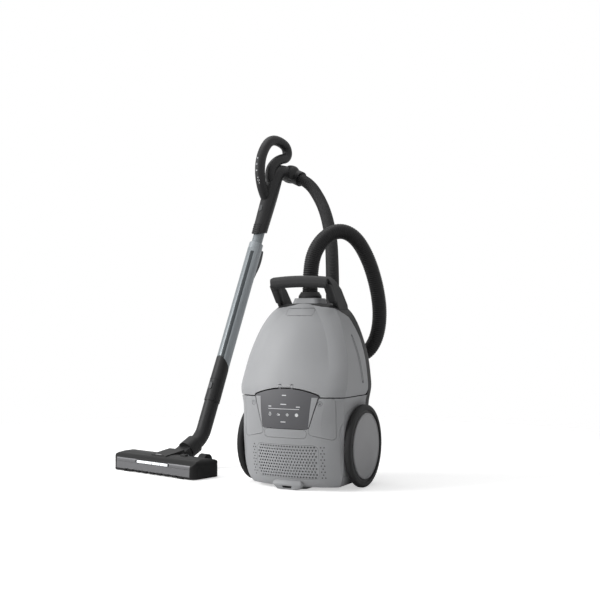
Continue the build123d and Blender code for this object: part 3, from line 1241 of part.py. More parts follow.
with BuildPart() as tube_collar:
    with BuildSketch(WAND.offset(COLLAR_RING_BOTTOM)):
        Circle(COLLAR_RING_RADIUS)
    extrude(amount=COLLAR_RING_TOP - COLLAR_RING_BOTTOM)
    with BuildSketch(WAND.offset(CATCH_BOTTOM - 2 * CATCH_TRAVEL)):
        with Locations((0, OUTER_TUBE_RADIUS + CATCH_BASE / 2)):
            Rectangle(CATCH_WIDTH, CATCH_BASE)
    extrude(amount=OUTER_TUBE_TOP - CATCH_BOTTOM + 2 * CATCH_TRAVEL)
    with BuildSketch(WAND.offset(CATCH_BOTTOM - 2 * CATCH_TRAVEL)):
        Circle(OUTER_TUBE_RADIUS + PIN_CLEARANCE)
    extrude(amount=OUTER_TUBE_TOP - CATCH_BOTTOM + 2 * CATCH_TRAVEL, mode=Mode.SUBTRACT)
    with BuildSketch(WAND.offset(OUTER_TUBE_TOP)):
        Circle(INNER_TUBE_RADIUS + FIT)
    extrude(amount=COLLAR_RING_TOP - OUTER_TUBE_TOP, mode=Mode.SUBTRACT)
pieces["tube_collar"] = tube_collar

with BuildPart() as telescopic_catch:
    with BuildSketch(WAND_SIDE):
        root = OUTER_TUBE_RADIUS + CATCH_BASE + BUTTON_GAP
        tip = root + CATCH_DEPTH
        with BuildLine():
            Polyline((root, CATCH_TOP), (root, CATCH_BOTTOM), (tip - CATCH_BASE, CATCH_BOTTOM + CATCH_WIDTH))
            middle = (tip + CATCH_BASE, (CATCH_BOTTOM + CATCH_TOP) / 2 + CATCH_WIDTH / 2)
            ThreePointArc((tip - CATCH_BASE, CATCH_BOTTOM + CATCH_WIDTH), middle, (tip, CATCH_TOP))
            Line((tip, CATCH_TOP), (root, CATCH_TOP))
        make_face()
    extrude(amount=CATCH_WIDTH / 2, both=True)
pieces["telescopic_catch"] = telescopic_catch

with BuildPart() as inner_tube:
    with BuildSketch(WAND.offset(INNER_TUBE_BOTTOM)):
        Circle(INNER_TUBE_RADIUS)
    extrude(amount=INNER_TUBE_TOP - INNER_TUBE_BOTTOM)
    with BuildSketch(WAND.offset(INNER_TUBE_BOTTOM)):
        Circle(OUTER_TUBE_RADIUS - OUTER_TUBE_WALL - FIT)
    extrude(amount=GUIDE_LENGTH)
    with BuildSketch(WAND.offset(INNER_TUBE_BOTTOM)):
        Circle(INNER_TUBE_RADIUS - INNER_TUBE_WALL)
    extrude(amount=INNER_TUBE_TOP - INNER_TUBE_BOTTOM, mode=Mode.SUBTRACT)
pieces["inner_tube"] = inner_tube

# Handle: a sleeve that turns into the hose's duct, and a looped grip over it
bend_at = HANDLE_SLEEVE[-1][0]
bend_centre = WAND.from_local_coords((0, DUCT_BEND_RADIUS, bend_at))
bend_line = Axis(bend_centre, -EAST)
outlet_plane = Plane(origin=bend_centre + UP * DUCT_BEND_RADIUS, x_dir=EAST, z_dir=NORTH)
outlet = outlet_plane.offset(DUCT_STRAIGHT).origin
with BuildPart() as handle_core:
    for height, radius in HANDLE_SLEEVE:
        with BuildSketch(WAND.offset(height)):
            Circle(radius)
    loft()
    with BuildSketch(WAND.offset(bend_at)):
        Circle(DUCT_RADIUS)
    revolve(axis=bend_line, revolution_arc=90 - WAND_LEAN)
    with BuildSketch(outlet_plane):
        Circle(DUCT_RADIUS)
    extrude(amount=DUCT_STRAIGHT)
    with BuildSketch(WAND_SIDE):
        low = HANDLE_SLEEVE[0][0]
        with BuildLine():
            Polyline(
                (-DUCT_RADIUS, low), (DUCT_RADIUS, HANDLE_BOTTOM_REAR),
                (2 * DUCT_RADIUS, HANDLE_BOTTOM_REAR), (2 * DUCT_RADIUS, low - DUCT_RADIUS),
                (-DUCT_RADIUS, low - DUCT_RADIUS), close=True,
            )
        make_face()
    extrude(amount=2 * DUCT_RADIUS, both=True, mode=Mode.SUBTRACT)

button_face = Plane(origin=WAND_FOOT, x_dir=EAST, z_dir=-WAND.y_dir)
with BuildPart() as handle_sleeve:
    add(handle_core.part)
    with BuildSketch(WAND.offset(HANDLE_SLEEVE[0][0])):
        Circle(INNER_TUBE_RADIUS + PIN_CLEARANCE)
    extrude(amount=INNER_TUBE_TOP - HANDLE_SLEEVE[0][0], mode=Mode.SUBTRACT)
    with BuildSketch(WAND.offset(INNER_TUBE_TOP)):
        Circle(DUCT_BORE_RADIUS)
    extrude(amount=bend_at - INNER_TUBE_TOP, mode=Mode.SUBTRACT)
    with BuildSketch(WAND.offset(bend_at)):
        Circle(DUCT_BORE_RADIUS)
    revolve(axis=bend_line, revolution_arc=90 - WAND_LEAN, mode=Mode.SUBTRACT)
    with BuildSketch(outlet_plane):
        Circle(DUCT_BORE_RADIUS)
    extrude(amount=DUCT_STRAIGHT, mode=Mode.SUBTRACT)
    with BuildSketch(outlet_plane.offset(DUCT_STRAIGHT - SWIVEL_DEPTH)):
        Circle(SWIVEL_BORE_RADIUS + FIT)
    extrude(amount=SWIVEL_DEPTH, mode=Mode.SUBTRACT)
    with BuildSketch(along(button_face, 0, LOCK_BUTTON_AT, POCKET_AT)):
        SlotOverall(TUBE_BUTTON_LENGTH + 2 * BUTTON_GAP, TUBE_BUTTON_WIDTH + 2 * BUTTON_GAP, rotation=90)
    extrude(amount=DUCT_RADIUS, mode=Mode.SUBTRACT)
pieces["handle_sleeve"] = handle_sleeve

with BuildPart() as handle_lock_button:
    with BuildSketch(along(button_face, 0, LOCK_BUTTON_AT, BUTTON_AT)):
        SlotOverall(TUBE_BUTTON_LENGTH, TUBE_BUTTON_WIDTH, rotation=90)
    extrude(amount=DUCT_RADIUS + BUTTON_PROUD - BUTTON_AT)
    fillet(faces().sort_by(Axis(WAND_FOOT, -WAND.y_dir))[-1].edges(), BUTTON_PROUD / 2)
pieces["handle_lock_button"] = handle_lock_button

key_places = {name: NOZZLE_SIDE.from_local_coords((*place, 0)) for name, place in KEYS.items()}
with BuildPart() as handle_grip:
    with BuildLine():
        root = ThreePointArc(*[NOZZLE_SIDE.from_local_coords((*point, 0)) for point in GRIP_START])
        stretch = root
        for bend in GRIP_BENDS:
            stretch = TangentArc(stretch @ 1, NOZZLE_SIDE.from_local_coords((*bend, 0)), tangent=stretch % 1)
    with BuildSketch(Plane(origin=root @ 0, x_dir=EAST, z_dir=root % 0)):
        Circle(GRIP_RADIUS)
    sweep()
    add(handle_core.part, mode=Mode.SUBTRACT)
    for place in key_places.values():
        with BuildSketch(Plane(origin=place, x_dir=EAST, z_dir=-NORTH).offset(GRIP_RADIUS - KEY_DEPTH)):
            Circle(KEY_RADIUS + BUTTON_GAP)
        extrude(amount=2 * KEY_DEPTH, mode=Mode.SUBTRACT)
pieces["handle_grip"] = handle_grip

for name, place in key_places.items():
    with BuildPart() as key:
        with BuildSketch(Plane(origin=place, x_dir=EAST, z_dir=-NORTH).offset(GRIP_RADIUS - KEY_DEPTH + KEY_TRAVEL)):
            Circle(KEY_RADIUS)
        extrude(amount=KEY_DEPTH - KEY_TRAVEL + BUTTON_PROUD / 2)
        fillet(faces().sort_by(Axis(place, -NORTH))[-1].edges(), BUTTON_PROUD / 2)
    pieces[name] = key

# Hose: a swivel elbow at the handle and a ribbed tube that tapers towards it
hose_heading = EAST * cos(radians(ELBOW_DROP)) - UP * sin(radians(ELBOW_DROP))
elbow_start = outlet + NORTH * ELBOW_LEAD
elbow_centre = elbow_start + hose_heading * ELBOW_BEND_RADIUS
elbow_line = Axis(elbow_centre, NORTH.cross(hose_heading))
elbow_end = elbow_centre + NORTH * ELBOW_BEND_RADIUS
hose_start = elbow_end + hose_heading * ELBOW_TAIL
entry_plane = Plane(origin=outlet, x_dir=EAST, z_dir=NORTH)
with BuildPart() as hose_elbow:
    with BuildSketch(entry_plane.offset(RUN_GAP)):
        Circle(ELBOW_RADIUS)
    extrude(amount=ELBOW_LEAD - RUN_GAP)
    with BuildSketch(entry_plane.offset(ELBOW_LEAD)):
        Circle(ELBOW_RADIUS)
    revolve(axis=elbow_line, revolution_arc=90)
    with BuildSketch(Plane(origin=elbow_end, x_dir=NORTH, z_dir=hose_heading)):
        Circle(ELBOW_RADIUS)
    extrude(amount=ELBOW_TAIL)
    with BuildSketch(entry_plane.offset(RUN_GAP - SWIVEL_DEPTH)):
        Circle(SWIVEL_BORE_RADIUS)
    extrude(amount=SWIVEL_DEPTH)
    with BuildSketch(entry_plane.offset(RUN_GAP - SWIVEL_DEPTH)):
        Circle(HOSE_BORE_RADIUS)
    extrude(amount=SWIVEL_DEPTH - RUN_GAP + ELBOW_LEAD, mode=Mode.SUBTRACT)
    with BuildSketch(entry_plane.offset(ELBOW_LEAD)):
        Circle(HOSE_BORE_RADIUS)
    revolve(axis=elbow_line, revolution_arc=90, mode=Mode.SUBTRACT)
    with BuildSketch(Plane(origin=elbow_end, x_dir=NORTH, z_dir=hose_heading)):
        Circle(HOSE_BORE_RADIUS)
    extrude(amount=ELBOW_TAIL, mode=Mode.SUBTRACT)
pieces["hose_elbow"] = hose_elbow

hose_end = Vector(0, INLET_Y, CUFF_TOP_Z)
hose_points = [hose_start, hose_start + hose_heading * HOSE_STRAIGHT]
hose_points += [Vector(*point) for point in HOSE_POINTS]
hose_points += [hose_end + UP * HOSE_STRAIGHT, hose_end]
with BuildPart() as hose:
    with BuildLine() as hose_path:
        bends = hose_radii(hose_points)
        FilletPolyline(*hose_points, radius=bends)
    route = hose_path.wire()
    stretches = []
    stretch_steps = 4 * HOSE_RIBS // HOSE_STRETCHES
    for first in range(0, 4 * HOSE_RIBS, stretch_steps):
        for step in range(first, first + stretch_steps + 1):
            share = step / (4 * HOSE_RIBS)
            heading = route.tangent_at(share)
            crest = HOSE_HANDLE_RADIUS + (HOSE_SOCKET_RADIUS - HOSE_HANDLE_RADIUS) * share
            depth = HOSE_RIB_DEPTH if step % 4 in (0, 1) else 0
            steady = HOSE_SIDE - heading * HOSE_SIDE.dot(heading)
            with BuildSketch(Plane(origin=route.position_at(share), x_dir=steady, z_dir=heading)):
                Circle(crest - depth)
        stretches.append(loft(ruled=True, mode=Mode.PRIVATE))
    add(stretches)
    with BuildSketch(Plane(origin=hose_start, x_dir=NORTH, z_dir=hose_heading)):
        Circle(HOSE_BORE_RADIUS)
    sweep(path=route, mode=Mode.SUBTRACT)
pieces["hose"] = hose
print("hose length", round(route.length), "bend radii", [round(bend) for bend in bends])
print("hose volume", round(hose.part.volume), "bore times length", round(3.1416 * HOSE_BORE_RADIUS**2 * route.length))

for name, piece in pieces.items():
    piece.part.label = name
    export_step(piece.part, f"parts/{name}.step")
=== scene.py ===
"""Looks for a canister vacuum cleaner that stands upright with its hose, wand and floor nozzle."""

import json
import logging
import math
from contextlib import contextmanager
from dataclasses import dataclass, field
from enum import Enum
from typing import Any, Callable, Iterator, Sequence

import bpy
from mathutils import Euler, Matrix, Vector

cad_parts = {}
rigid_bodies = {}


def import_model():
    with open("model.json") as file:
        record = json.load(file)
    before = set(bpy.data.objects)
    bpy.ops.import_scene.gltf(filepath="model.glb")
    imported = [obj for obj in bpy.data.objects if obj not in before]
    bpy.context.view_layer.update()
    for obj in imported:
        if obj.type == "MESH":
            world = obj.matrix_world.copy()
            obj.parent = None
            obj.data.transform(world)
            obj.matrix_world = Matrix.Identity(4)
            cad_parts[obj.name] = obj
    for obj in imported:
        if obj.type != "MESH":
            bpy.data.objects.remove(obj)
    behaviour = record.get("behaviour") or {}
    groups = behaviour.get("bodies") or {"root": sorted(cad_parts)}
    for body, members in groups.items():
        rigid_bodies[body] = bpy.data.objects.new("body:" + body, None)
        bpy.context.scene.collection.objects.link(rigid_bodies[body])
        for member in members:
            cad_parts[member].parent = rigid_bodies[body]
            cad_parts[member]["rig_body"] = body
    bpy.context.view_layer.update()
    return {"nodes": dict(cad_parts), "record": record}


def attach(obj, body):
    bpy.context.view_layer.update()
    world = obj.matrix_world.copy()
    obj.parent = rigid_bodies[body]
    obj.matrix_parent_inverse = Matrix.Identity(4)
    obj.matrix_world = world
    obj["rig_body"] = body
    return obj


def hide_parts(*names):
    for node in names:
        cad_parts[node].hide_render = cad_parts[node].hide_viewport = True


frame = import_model()
LOG = logging.getLogger("vacuum_cleaner")
MM = 0.001
Triple = tuple[float, float, float]
Piece = bpy.types.Object
Tree = bpy.types.NodeTree
Socket = bpy.types.NodeSocket

# The object's two sides, with the sign of X on each.
SIDES = (("left", -1), ("right", 1))
UP = Vector((0.0, 0.0, 1.0))
RIGHT = Vector((1.0, 0.0, 0.0))
FORWARD = Vector((0.0, -1.0, 0.0))
# The wand's own axes: to its right, to its rear and along it, from where it would meet the floor.
WAND_RIGHT = Vector((0.973299, -0.229540, 0.0))
WAND_REAR = Vector((0.212676, 0.901790, -0.376224))
WAND_ALONG = Vector((0.086359, 0.366179, 0.926529))
WAND_FOOT = Vector((-0.377219, 0.084158, 0.0))
# The nozzle's own axes: to its right and to its rear, from the middle of its front bottom edge.
NOZZLE_RIGHT = WAND_RIGHT
NOZZLE_REAR = Vector((0.229540, 0.973299, 0.0))
NOZZLE_AT = Vector((-0.41025, -0.0559, 0.0))

# How a finish drifts over a surface.
DRIFT_PER_METRE = 14.0
DRIFT_DETAIL = 2.0
SMOOTHER_BY = 0.04
ROUGHER_BY = 0.05
EDGE_SAMPLES = 4
STREAK_STRETCH = 60.0
# A Mix node's colour sockets, which share their names with others.
MIX_FIRST, MIX_SECOND, MIX_RESULT = 6, 7, 2
# Edges up to these angles are shaded smooth.
SMOOTH_BLOCK = math.radians(50.0)
SMOOTH_ROUND = math.radians(40.0)
SMOOTH_TUBE = math.radians(30.0)
# A face looks one way when its normal goes this share of that way.
FACING_SHARE = 0.9


def to_linear(code: str) -> tuple[float, float, float, float]:
    """Turn an sRGB hex colour into linear light.

    Args:
        code: six hex digits, with or without a leading #.

    Returns:
        Red, green, blue and an alpha of 1.
    """
    digits = code.lstrip("#")
    levels = [int(digits[place:place + 2], 16) / 255 for place in (0, 2, 4)]
    linear = [level / 12.92 if level <= 0.04045 else ((level + 0.055) / 1.055) ** 2.4 for level in levels]
    return (*linear, 1.0)


def add_node(tree: Tree, kind: str, inputs: dict[Any, Any] | None = None, **settings: Any) -> bpy.types.Node:
    """Add a shader node with its settings, values and links.

    Args:
        tree: the node tree that takes it.
        kind: the node's type name, without ShaderNode.
        inputs: values or output sockets by input name or number.
        settings: attributes of the node.

    Returns:
        The new node.
    """
    node = tree.nodes.new(f"ShaderNode{kind}")
    for name, value in settings.items():
        setattr(node, name, value)
    for name, value in (inputs or {}).items():
        if isinstance(value, Socket):
            tree.links.new(value, node.inputs[name])
        else:
            node.inputs[name].default_value = value
    return node


def mix_colours(tree: Tree, share: Socket, first: Any, second: Any) -> Socket:
    """Add a node that goes from one colour to another.

    Args:
        tree: the node tree that takes it.
        share: the share of the second colour.
        first: a colour or its socket.
        second: a colour or its socket.

    Returns:
        The socket that holds the mixed colour.
    """
    inputs = {"Factor": share, MIX_FIRST: first, MIX_SECOND: second}
    return add_node(tree, "Mix", inputs, data_type="RGBA").outputs[MIX_RESULT]


class Grain(Enum):
    """How a surface was made, which sets the pattern of its fine relief."""

    SPARK = "eroded mould, an even matt grain"
    SATIN = "polished mould, nearly smooth"
    DRAWN = "drawn tube, fine streaks along it"
    RUBBER = "pressed rubber, soft and dusty"
    FLEECE = "non-woven filter cloth, matted fibres"


RELIEF_DETAIL = {Grain.SPARK: 6.0, Grain.SATIN: 2.0, Grain.DRAWN: 3.0, Grain.RUBBER: 6.0}


@dataclass(frozen=True)
class Finish:
    """A finish: its colours, its gloss and the relief that its making leaves.

    Attributes:
        slot: the record's material slot.
        colour: its sRGB colour.
        second: the sRGB colour that it drifts to in soft patches.
        grain: how the surface was made.
        grain_mm: width of a grain or streak.
        relief: strength of the relief.
        metallic: 1 for bare metal, less under lacquer.
        edge_mm: radius to which an edge is softened.
        glow: strength of the light that it gives off.
        specular: level of its mirror shine.
        upper: the sRGB colour above upper_mm, on a piece of two colours.
        upper_mm: height where that colour starts.
    """

    name: str
    slot: str
    colour: str
    second: str
    roughness: float
    grain: Grain = Grain.SATIN
    grain_mm: float = 0.5
    relief: float = 0.04
    metallic: float = 0.0
    edge_mm: float = 0.8
    glow: float = 0.0
    specular: float = 0.35
    upper: str = ""
    upper_mm: float = 0.0

    def material(self) -> bpy.types.Material:
        """Build the finish's node material, once, and give it back.

        Returns:
            The material.
        """
        made = bpy.data.materials.get(self.name)
        if made:
            return made
        made = bpy.data.materials.new(self.name)
        made.use_nodes = True
        tree = made.node_tree
        tree.nodes.clear()
        place = add_node(tree, "TexCoord").outputs["Object"]
        patches = {"Vector": place, "Scale": DRIFT_PER_METRE, "Detail": DRIFT_DETAIL}
        drift = add_node(tree, "TexNoise", patches).outputs["Fac"]
        colour = mix_colours(tree, drift, to_linear(self.colour), to_linear(self.second))
        if self.upper:
            height = add_node(tree, "SeparateXYZ", {"Vector": place}).outputs["Z"]
            above = add_node(tree, "Math", {0: height, 1: self.upper_mm * MM}, operation="GREATER_THAN")
            colour = mix_colours(tree, above.outputs[0], colour, to_linear(self.upper))
        gloss = {"Value": drift, "To Min": self.roughness - SMOOTHER_BY, "To Max": self.roughness + ROUGHER_BY}
        spread = add_node(tree, "MapRange", gloss)
        rounded = add_node(tree, "Bevel", {"Radius": self.edge_mm * MM}, samples=EDGE_SAMPLES)
        bump = add_node(tree, "Bump", {
            "Height": self.height(tree, place), "Strength": self.relief,
            "Distance": self.grain_mm * MM / 2, "Normal": rounded.outputs["Normal"],
        })
        shader = add_node(tree, "BsdfPrincipled", {
            "Base Color": colour, "Roughness": spread.outputs["Result"], "Metallic": self.metallic,
            "Specular IOR Level": self.specular, "Normal": bump.outputs["Normal"],
            "Emission Color": to_linear(self.colour), "Emission Strength": self.glow,
        })
        add_node(tree, "OutputMaterial", {"Surface": shader.outputs["BSDF"]})
        made.diffuse_color = to_linear(self.colour)
        return made

    def height(self, tree: Tree, place: Socket) -> Socket:
        """Add the nodes of the surface's relief.

        Args:
            tree: the material's nodes.
            place: the point on the object, in metres.

        Returns:
            The socket that holds the height.
        """
        per_metre = 1 / (self.grain_mm * MM)
        if self.grain is Grain.FLEECE:
            fibres = add_node(tree, "TexVoronoi", {"Vector": place, "Scale": per_metre})
            return fibres.outputs["Distance"]
        if self.grain is Grain.DRAWN:
            streaks = {"Vector": place, "Rotation": tuple(wand_turn()), "Scale": (1.0, 1.0, STREAK_STRETCH)}
            place = add_node(tree, "Mapping", streaks, vector_type="TEXTURE").outputs["Vector"]
        specks = {"Vector": place, "Scale": per_metre, "Detail": RELIEF_DETAIL[self.grain]}
        speckle = add_node(tree, "TexNoise", specks)
        return speckle.outputs["Fac"]


def wand_turn() -> Euler:
    """Give the turn that takes the Z axis along the wand.

    Returns:
        The turn.
    """
    return Matrix((WAND_RIGHT, WAND_REAR, WAND_ALONG)).transposed().to_euler()


# Silver-lacquered ABS: pale, even and softly shining.
SILVER_ABS = Finish("silver_lacquered_abs", "silver_body", "#A7A8AA", "#A0A1A3", 0.5, edge_mm=1.2)
# Dark grey ABS of the panel: cooler than the housing. Its hinge ears are lacquered like the lid.
PANEL_ABS = Finish(
    "dark_grey_abs", "panel_grey", "#5F5F62", "#59595C", 0.5, relief=0.05, upper="#A4A5A7", upper_mm=236.5
)
# Black moulded polypropylene: grained, so it looks charcoal where light grazes it.
BLACK_PP = Finish(
    "black_moulded_polypropylene", "black_plastic", "#262627", "#222223", 0.55, Grain.SPARK, 0.9, 0.12,
    edge_mm=1.0, specular=0.3,
)
# Black ABS of the handle and the wand's sleeves: a little smoother than the chassis.
BLACK_ABS = Finish(
    "black_satin_abs", "black_plastic", "#242425", "#202021", 0.48, Grain.SPARK, 0.7, 0.06, edge_mm=1.0, specular=0.26
)
# Black ABS of the nozzle's cover: the same plastic, with less shine and painted darker as painted shade, so that its
# lit top stays dark.
NOZZLE_SHADED_ABS = Finish(
    "black_abs_painted_shade", "black_plastic", "#1C1C1D", "#191919", 0.52, Grain.SPARK, 0.8, 0.08, edge_mm=1.2, specular=0.18
)
# Painted sheen on the nozzle's black front: a dark, slightly metallic grey, lighter where light falls on it.
FRONT_SHEEN_GREY = Finish("grey_front_painted_sheen", "panel_grey", "#717173", "#6B6B6D", 0.4, metallic=0.2)
# Grey ABS of keys and buttons, moulded in one colour.
KEY_ABS = Finish("grey_key_abs", "button_grey", "#4A4B4D", "#454648", 0.45, edge_mm=0.4)
# Tyre rubber: soft, dusty and without shine.
TYRE_RUBBER = Finish("black_tyre_rubber", "tyre_rubber", "#1A1A1B", "#1F1F20", 0.72, Grain.RUBBER, 1.2, 0.2)
# Hose vinyl: black, over a wire helix, with a low shine on its ribs.
HOSE_RUBBER = Finish(
    "black_hose_vinyl", "hose_rubber", "#101011", "#151516", 0.56, Grain.RUBBER, 1.0, 0.1, edge_mm=0.3, specular=0.27
)
# Lacquered hub disc: satin grey, smoother than the housing.
HUB_LACQUER = Finish("grey_lacquered_hub", "hub_silver", "#98989A", "#929294", 0.45, metallic=0.15)
# Drawn steel tube, lacquered blue-grey, with fine streaks along it.
DRAWN_STEEL = Finish(
    "drawn_blue_grey_steel", "steel_tube", "#868C8F", "#80868A", 0.36, Grain.DRAWN, 0.5, 0.05, metallic=0.2
)
# The same steel, paler, on the tube's flanks: a painted sheen for the light that falls on them.
FLANK_SHEEN_STEEL = Finish(
    "flank_steel_painted_sheen", "steel_tube", "#9AA0A4", "#949A9E", 0.36, Grain.DRAWN, 0.5, 0.05, metallic=0.2
)
# The same steel, darker, in the tube's channel: a painted reflection, the dark stripe between the lamps' bright ones.
# The belly's screw heads take it too.
DARK_STEEL_AND_REFLECTION = Finish("dark_steel_and_painted_reflection", "steel_tube", "#404548", "#3B4043", 0.4, Grain.DRAWN, 0.5, 0.05, metallic=0.2)
# Frosted lens over the nozzle's lamps: white and lit from behind.
LAMP_LENS = Finish(
    "frosted_lamp_lens", "lamp_white", "#F4F7FA", "#EEF2F6", 0.25, Grain.SATIN, 0.6, 0.03, edge_mm=0.3, glow=0.7
)
# White ink, printed on the panel and the grip.
WHITE_INK = Finish("white_printed_ink", "lamp_white", "#E9EAEC", "#E2E3E5", 0.6, Grain.SATIN, 0.3, 0.02, edge_mm=0.1)
# Grey lines: the pedals' pressed symbols, and painted shade that stands for the hollows in the lid's flanks.
GREY_LINE_AND_SHADE = Finish("grey_line_and_painted_shade", "panel_grey", "#6F6F71", "#69696B", 0.6, Grain.SATIN, 0.3, 0.02, edge_mm=0.1)
# Painted shade: the dark that shows in a hole or slot into the housing, where no light reaches. It is also the dark
# dividers between the nozzle's lamps.
HOLE_SHADE_AND_DIVIDER = Finish("painted_hole_shade_and_divider", "inner_grey", "#3A3A3B", "#353536", 0.8, Grain.SPARK, 0.5, 0.02, edge_mm=0.1)
# Inner polypropylene: grey and unfinished, hidden in use.
INNER_PP = Finish("grey_inner_polypropylene", "inner_grey", "#4A4A4B", "#444445", 0.55, Grain.SPARK, 1.0, 0.1)
# Filter fleece: non-woven, white and matted.
FILTER_FLEECE = Finish("white_filter_fleece", "bag_cloth", "#D9D7D0", "#CFCDC6", 0.9, Grain.FLEECE, 1.6, 0.4)
# Circuit board: green solder resist over glass fibre.
BOARD_RESIN = Finish("green_board_resin", "board_green", "#1F5A35", "#1B5030", 0.4, Grain.SATIN, 0.6, 0.04)


@dataclass
class Dresser:
    """Puts finishes on the solids: those of their material slots, or special ones by name."""

    finishes: Sequence[Finish] = (
        SILVER_ABS, PANEL_ABS, BLACK_PP, KEY_ABS, TYRE_RUBBER, HUB_LACQUER,
        DRAWN_STEEL, HOSE_RUBBER, LAMP_LENS, INNER_PP, FILTER_FLEECE, BOARD_RESIN,
    )
    special: dict[str, Finish] = field(default_factory=lambda: {
        "handle_sleeve": BLACK_ABS, "handle_grip": BLACK_ABS, "nozzle_cover": NOZZLE_SHADED_ABS, "tube_sleeve": BLACK_ABS,
        "neck_elbow": BLACK_ABS, "neck_fork": BLACK_ABS, "hose_elbow": BLACK_ABS, "power_pedal": SILVER_ABS,
        "rewind_pedal": SILVER_ABS, "inlet_collar": SILVER_ABS, "parking_foot": SILVER_ABS, "tube_collar": FLANK_SHEEN_STEEL,
        "telescopic_catch": KEY_ABS, "drive_belt": TYRE_RUBBER, "brush_roll": INNER_PP,
    })

    def dress(self) -> None:
        """Give every solid its finish."""
        slots = {entry["node"]: entry["material_slot"] for entry in frame["record"]["subparts"]}
        by_slot = {finish.slot: finish for finish in self.finishes}
        for name, solid in frame["nodes"].items():
            paint(solid, self.special.get(name) or by_slot[slots[name]])
        LOG.info("dressed %d solids", len(frame["nodes"]))


def paint(piece: Piece, *finishes: Finish) -> None:
    """Give a piece its finishes, with the first one all over it.

    Args:
        piece: the object to paint.
        finishes: its finishes.
    """
    piece.data.materials.clear()
    for finish in finishes:
        piece.data.materials.append(finish.material())


def metres(lengths: Sequence[float]) -> tuple[float, ...]:
    """Turn millimetres into metres.

    Args:
        lengths: in millimetres.

    Returns:
        The same in metres.
    """
    return tuple(length * MM for length in lengths)


def mirrored(place: Triple, sign: int) -> Triple:
    """Take a place on the right to either side.

    Args:
        place: the place on the right.
        sign: 1 for the right and -1 for the left.

    Returns:
        The place on that side.
    """
    return (sign * place[0], place[1], place[2])


def select_only(piece: Piece) -> None:
    """Select one piece and make it the active one.

    Args:
        piece: the piece.
    """
    bpy.ops.object.select_all(action="DESELECT")
    piece.select_set(True)
    bpy.context.view_layer.objects.active = piece


def start(name: str, kind: str, **settings: Any) -> Piece:
    """Start a piece as a plain mesh.

    Args:
        name: the piece's name.
        kind: the mesh, such as cube.
        settings: those of its operator.

    Returns:
        The piece, which is the only one selected.
    """
    bpy.ops.object.select_all(action="DESELECT")
    getattr(bpy.ops.mesh, f"primitive_{kind}_add")(**settings)
    piece = bpy.context.object
    piece.name = name
    return piece


@contextmanager
def editing() -> Iterator[None]:
    """Edit the active piece with all of it selected, then go back to object mode."""
    bpy.ops.object.mode_set(mode="EDIT")
    bpy.ops.mesh.select_all(action="SELECT")
    yield
    bpy.ops.object.mode_set(mode="OBJECT")


@contextmanager
def editing_some(piece: Piece, chosen: Callable[[Any], bool], kind: str = "FACE") -> Iterator[None]:
    """Edit the active piece with some of its faces or vertices selected, then go back to object mode.

    Args:
        piece: the active piece.
        chosen: says which are selected.
        kind: FACE or VERT.
    """
    bpy.ops.object.mode_set(mode="EDIT")
    bpy.ops.mesh.select_mode(type=kind)
    bpy.ops.mesh.select_all(action="DESELECT")
    bpy.ops.object.mode_set(mode="OBJECT")
    for part in piece.data.polygons if kind == "FACE" else piece.data.vertices:
        part.select = chosen(part)
    bpy.ops.object.mode_set(mode="EDIT")
    yield
    bpy.ops.object.mode_set(mode="OBJECT")


def facing(way: Vector) -> Callable[[bpy.types.MeshPolygon], bool]:
    """Give a test for faces that look one way.

    Args:
        way: where they look.

    Returns:
        The test.
    """
    return lambda polygon: polygon.normal.dot(way) > FACING_SHARE


def extrude(move: Sequence[float]) -> None:
    """Draw out what is selected.

    Args:
        move: how far it goes, in millimetres.
    """
    bpy.ops.mesh.extrude_region_move(TRANSFORM_OT_translate={"value": metres(move)})


def block(name: str, size: Triple, at: Triple) -> Piece:
    """Start a piece as a box.

    Args:
        name: the piece's name.
        size: its width, depth and height in millimetres.
        at: its middle in millimetres.

    Returns:
        The box, with its size and place in its mesh.
    """
    box = start(name, "cube", size=1, location=metres(at))
    box.scale = metres(size)
    bpy.ops.object.transform_apply()
    return box


def modify(piece: Piece, kind: str, **settings: Any) -> None:
    """Give the active piece a modifier and apply it.

    Args:
        piece: the piece.
        kind: the modifier's type.
        settings: attributes of the modifier.
    """
    modifier = piece.modifiers.new(kind, kind)
    for name, value in settings.items():
        setattr(modifier, name, value)
    bpy.ops.object.modifier_apply(modifier=modifier.name)


def soften(piece: Piece, width: float, steps: int, least_angle: float = 0.0) -> None:
    """Round the edges of the active piece.

    Args:
        piece: the piece.
        width: width of the rounding in millimetres.
        steps: faces across it.
        least_angle: edges less sharp than this stay as they are, in degrees.
    """
    limit = "ANGLE" if least_angle else "NONE"
    angle = math.radians(least_angle)
    modify(piece, "BEVEL", width=width * MM, segments=steps, limit_method=limit, angle_limit=angle)


def settle(piece: Piece, node: str, finish: Finish) -> None:
    """Put a finished piece's place in its mesh, point its faces outwards, paint it and let it ride.

    Args:
        piece: the piece.
        node: a solid of the body that it rides on.
        finish: its main finish.
    """
    select_only(piece)
    bpy.ops.object.transform_apply()
    with editing():
        bpy.ops.mesh.normals_make_consistent(inside=False)
    if not piece.data.materials:
        paint(piece, finish)
    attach(piece, frame["nodes"][node]["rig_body"])


@dataclass(frozen=True)
class Face:
    """A side of the object that flat work is laid on: where its axes start, and where they go."""

    origin: Vector
    right: Vector
    into: Vector
    up: Vector

    def matrix(self) -> Matrix:
        """Give the turn and place that take flat work to this side.

        Returns:
            A matrix in metres.
        """
        turned = Matrix((self.right, self.into, self.up)).transposed().to_4x4()
        return Matrix.Translation(self.origin) @ turned


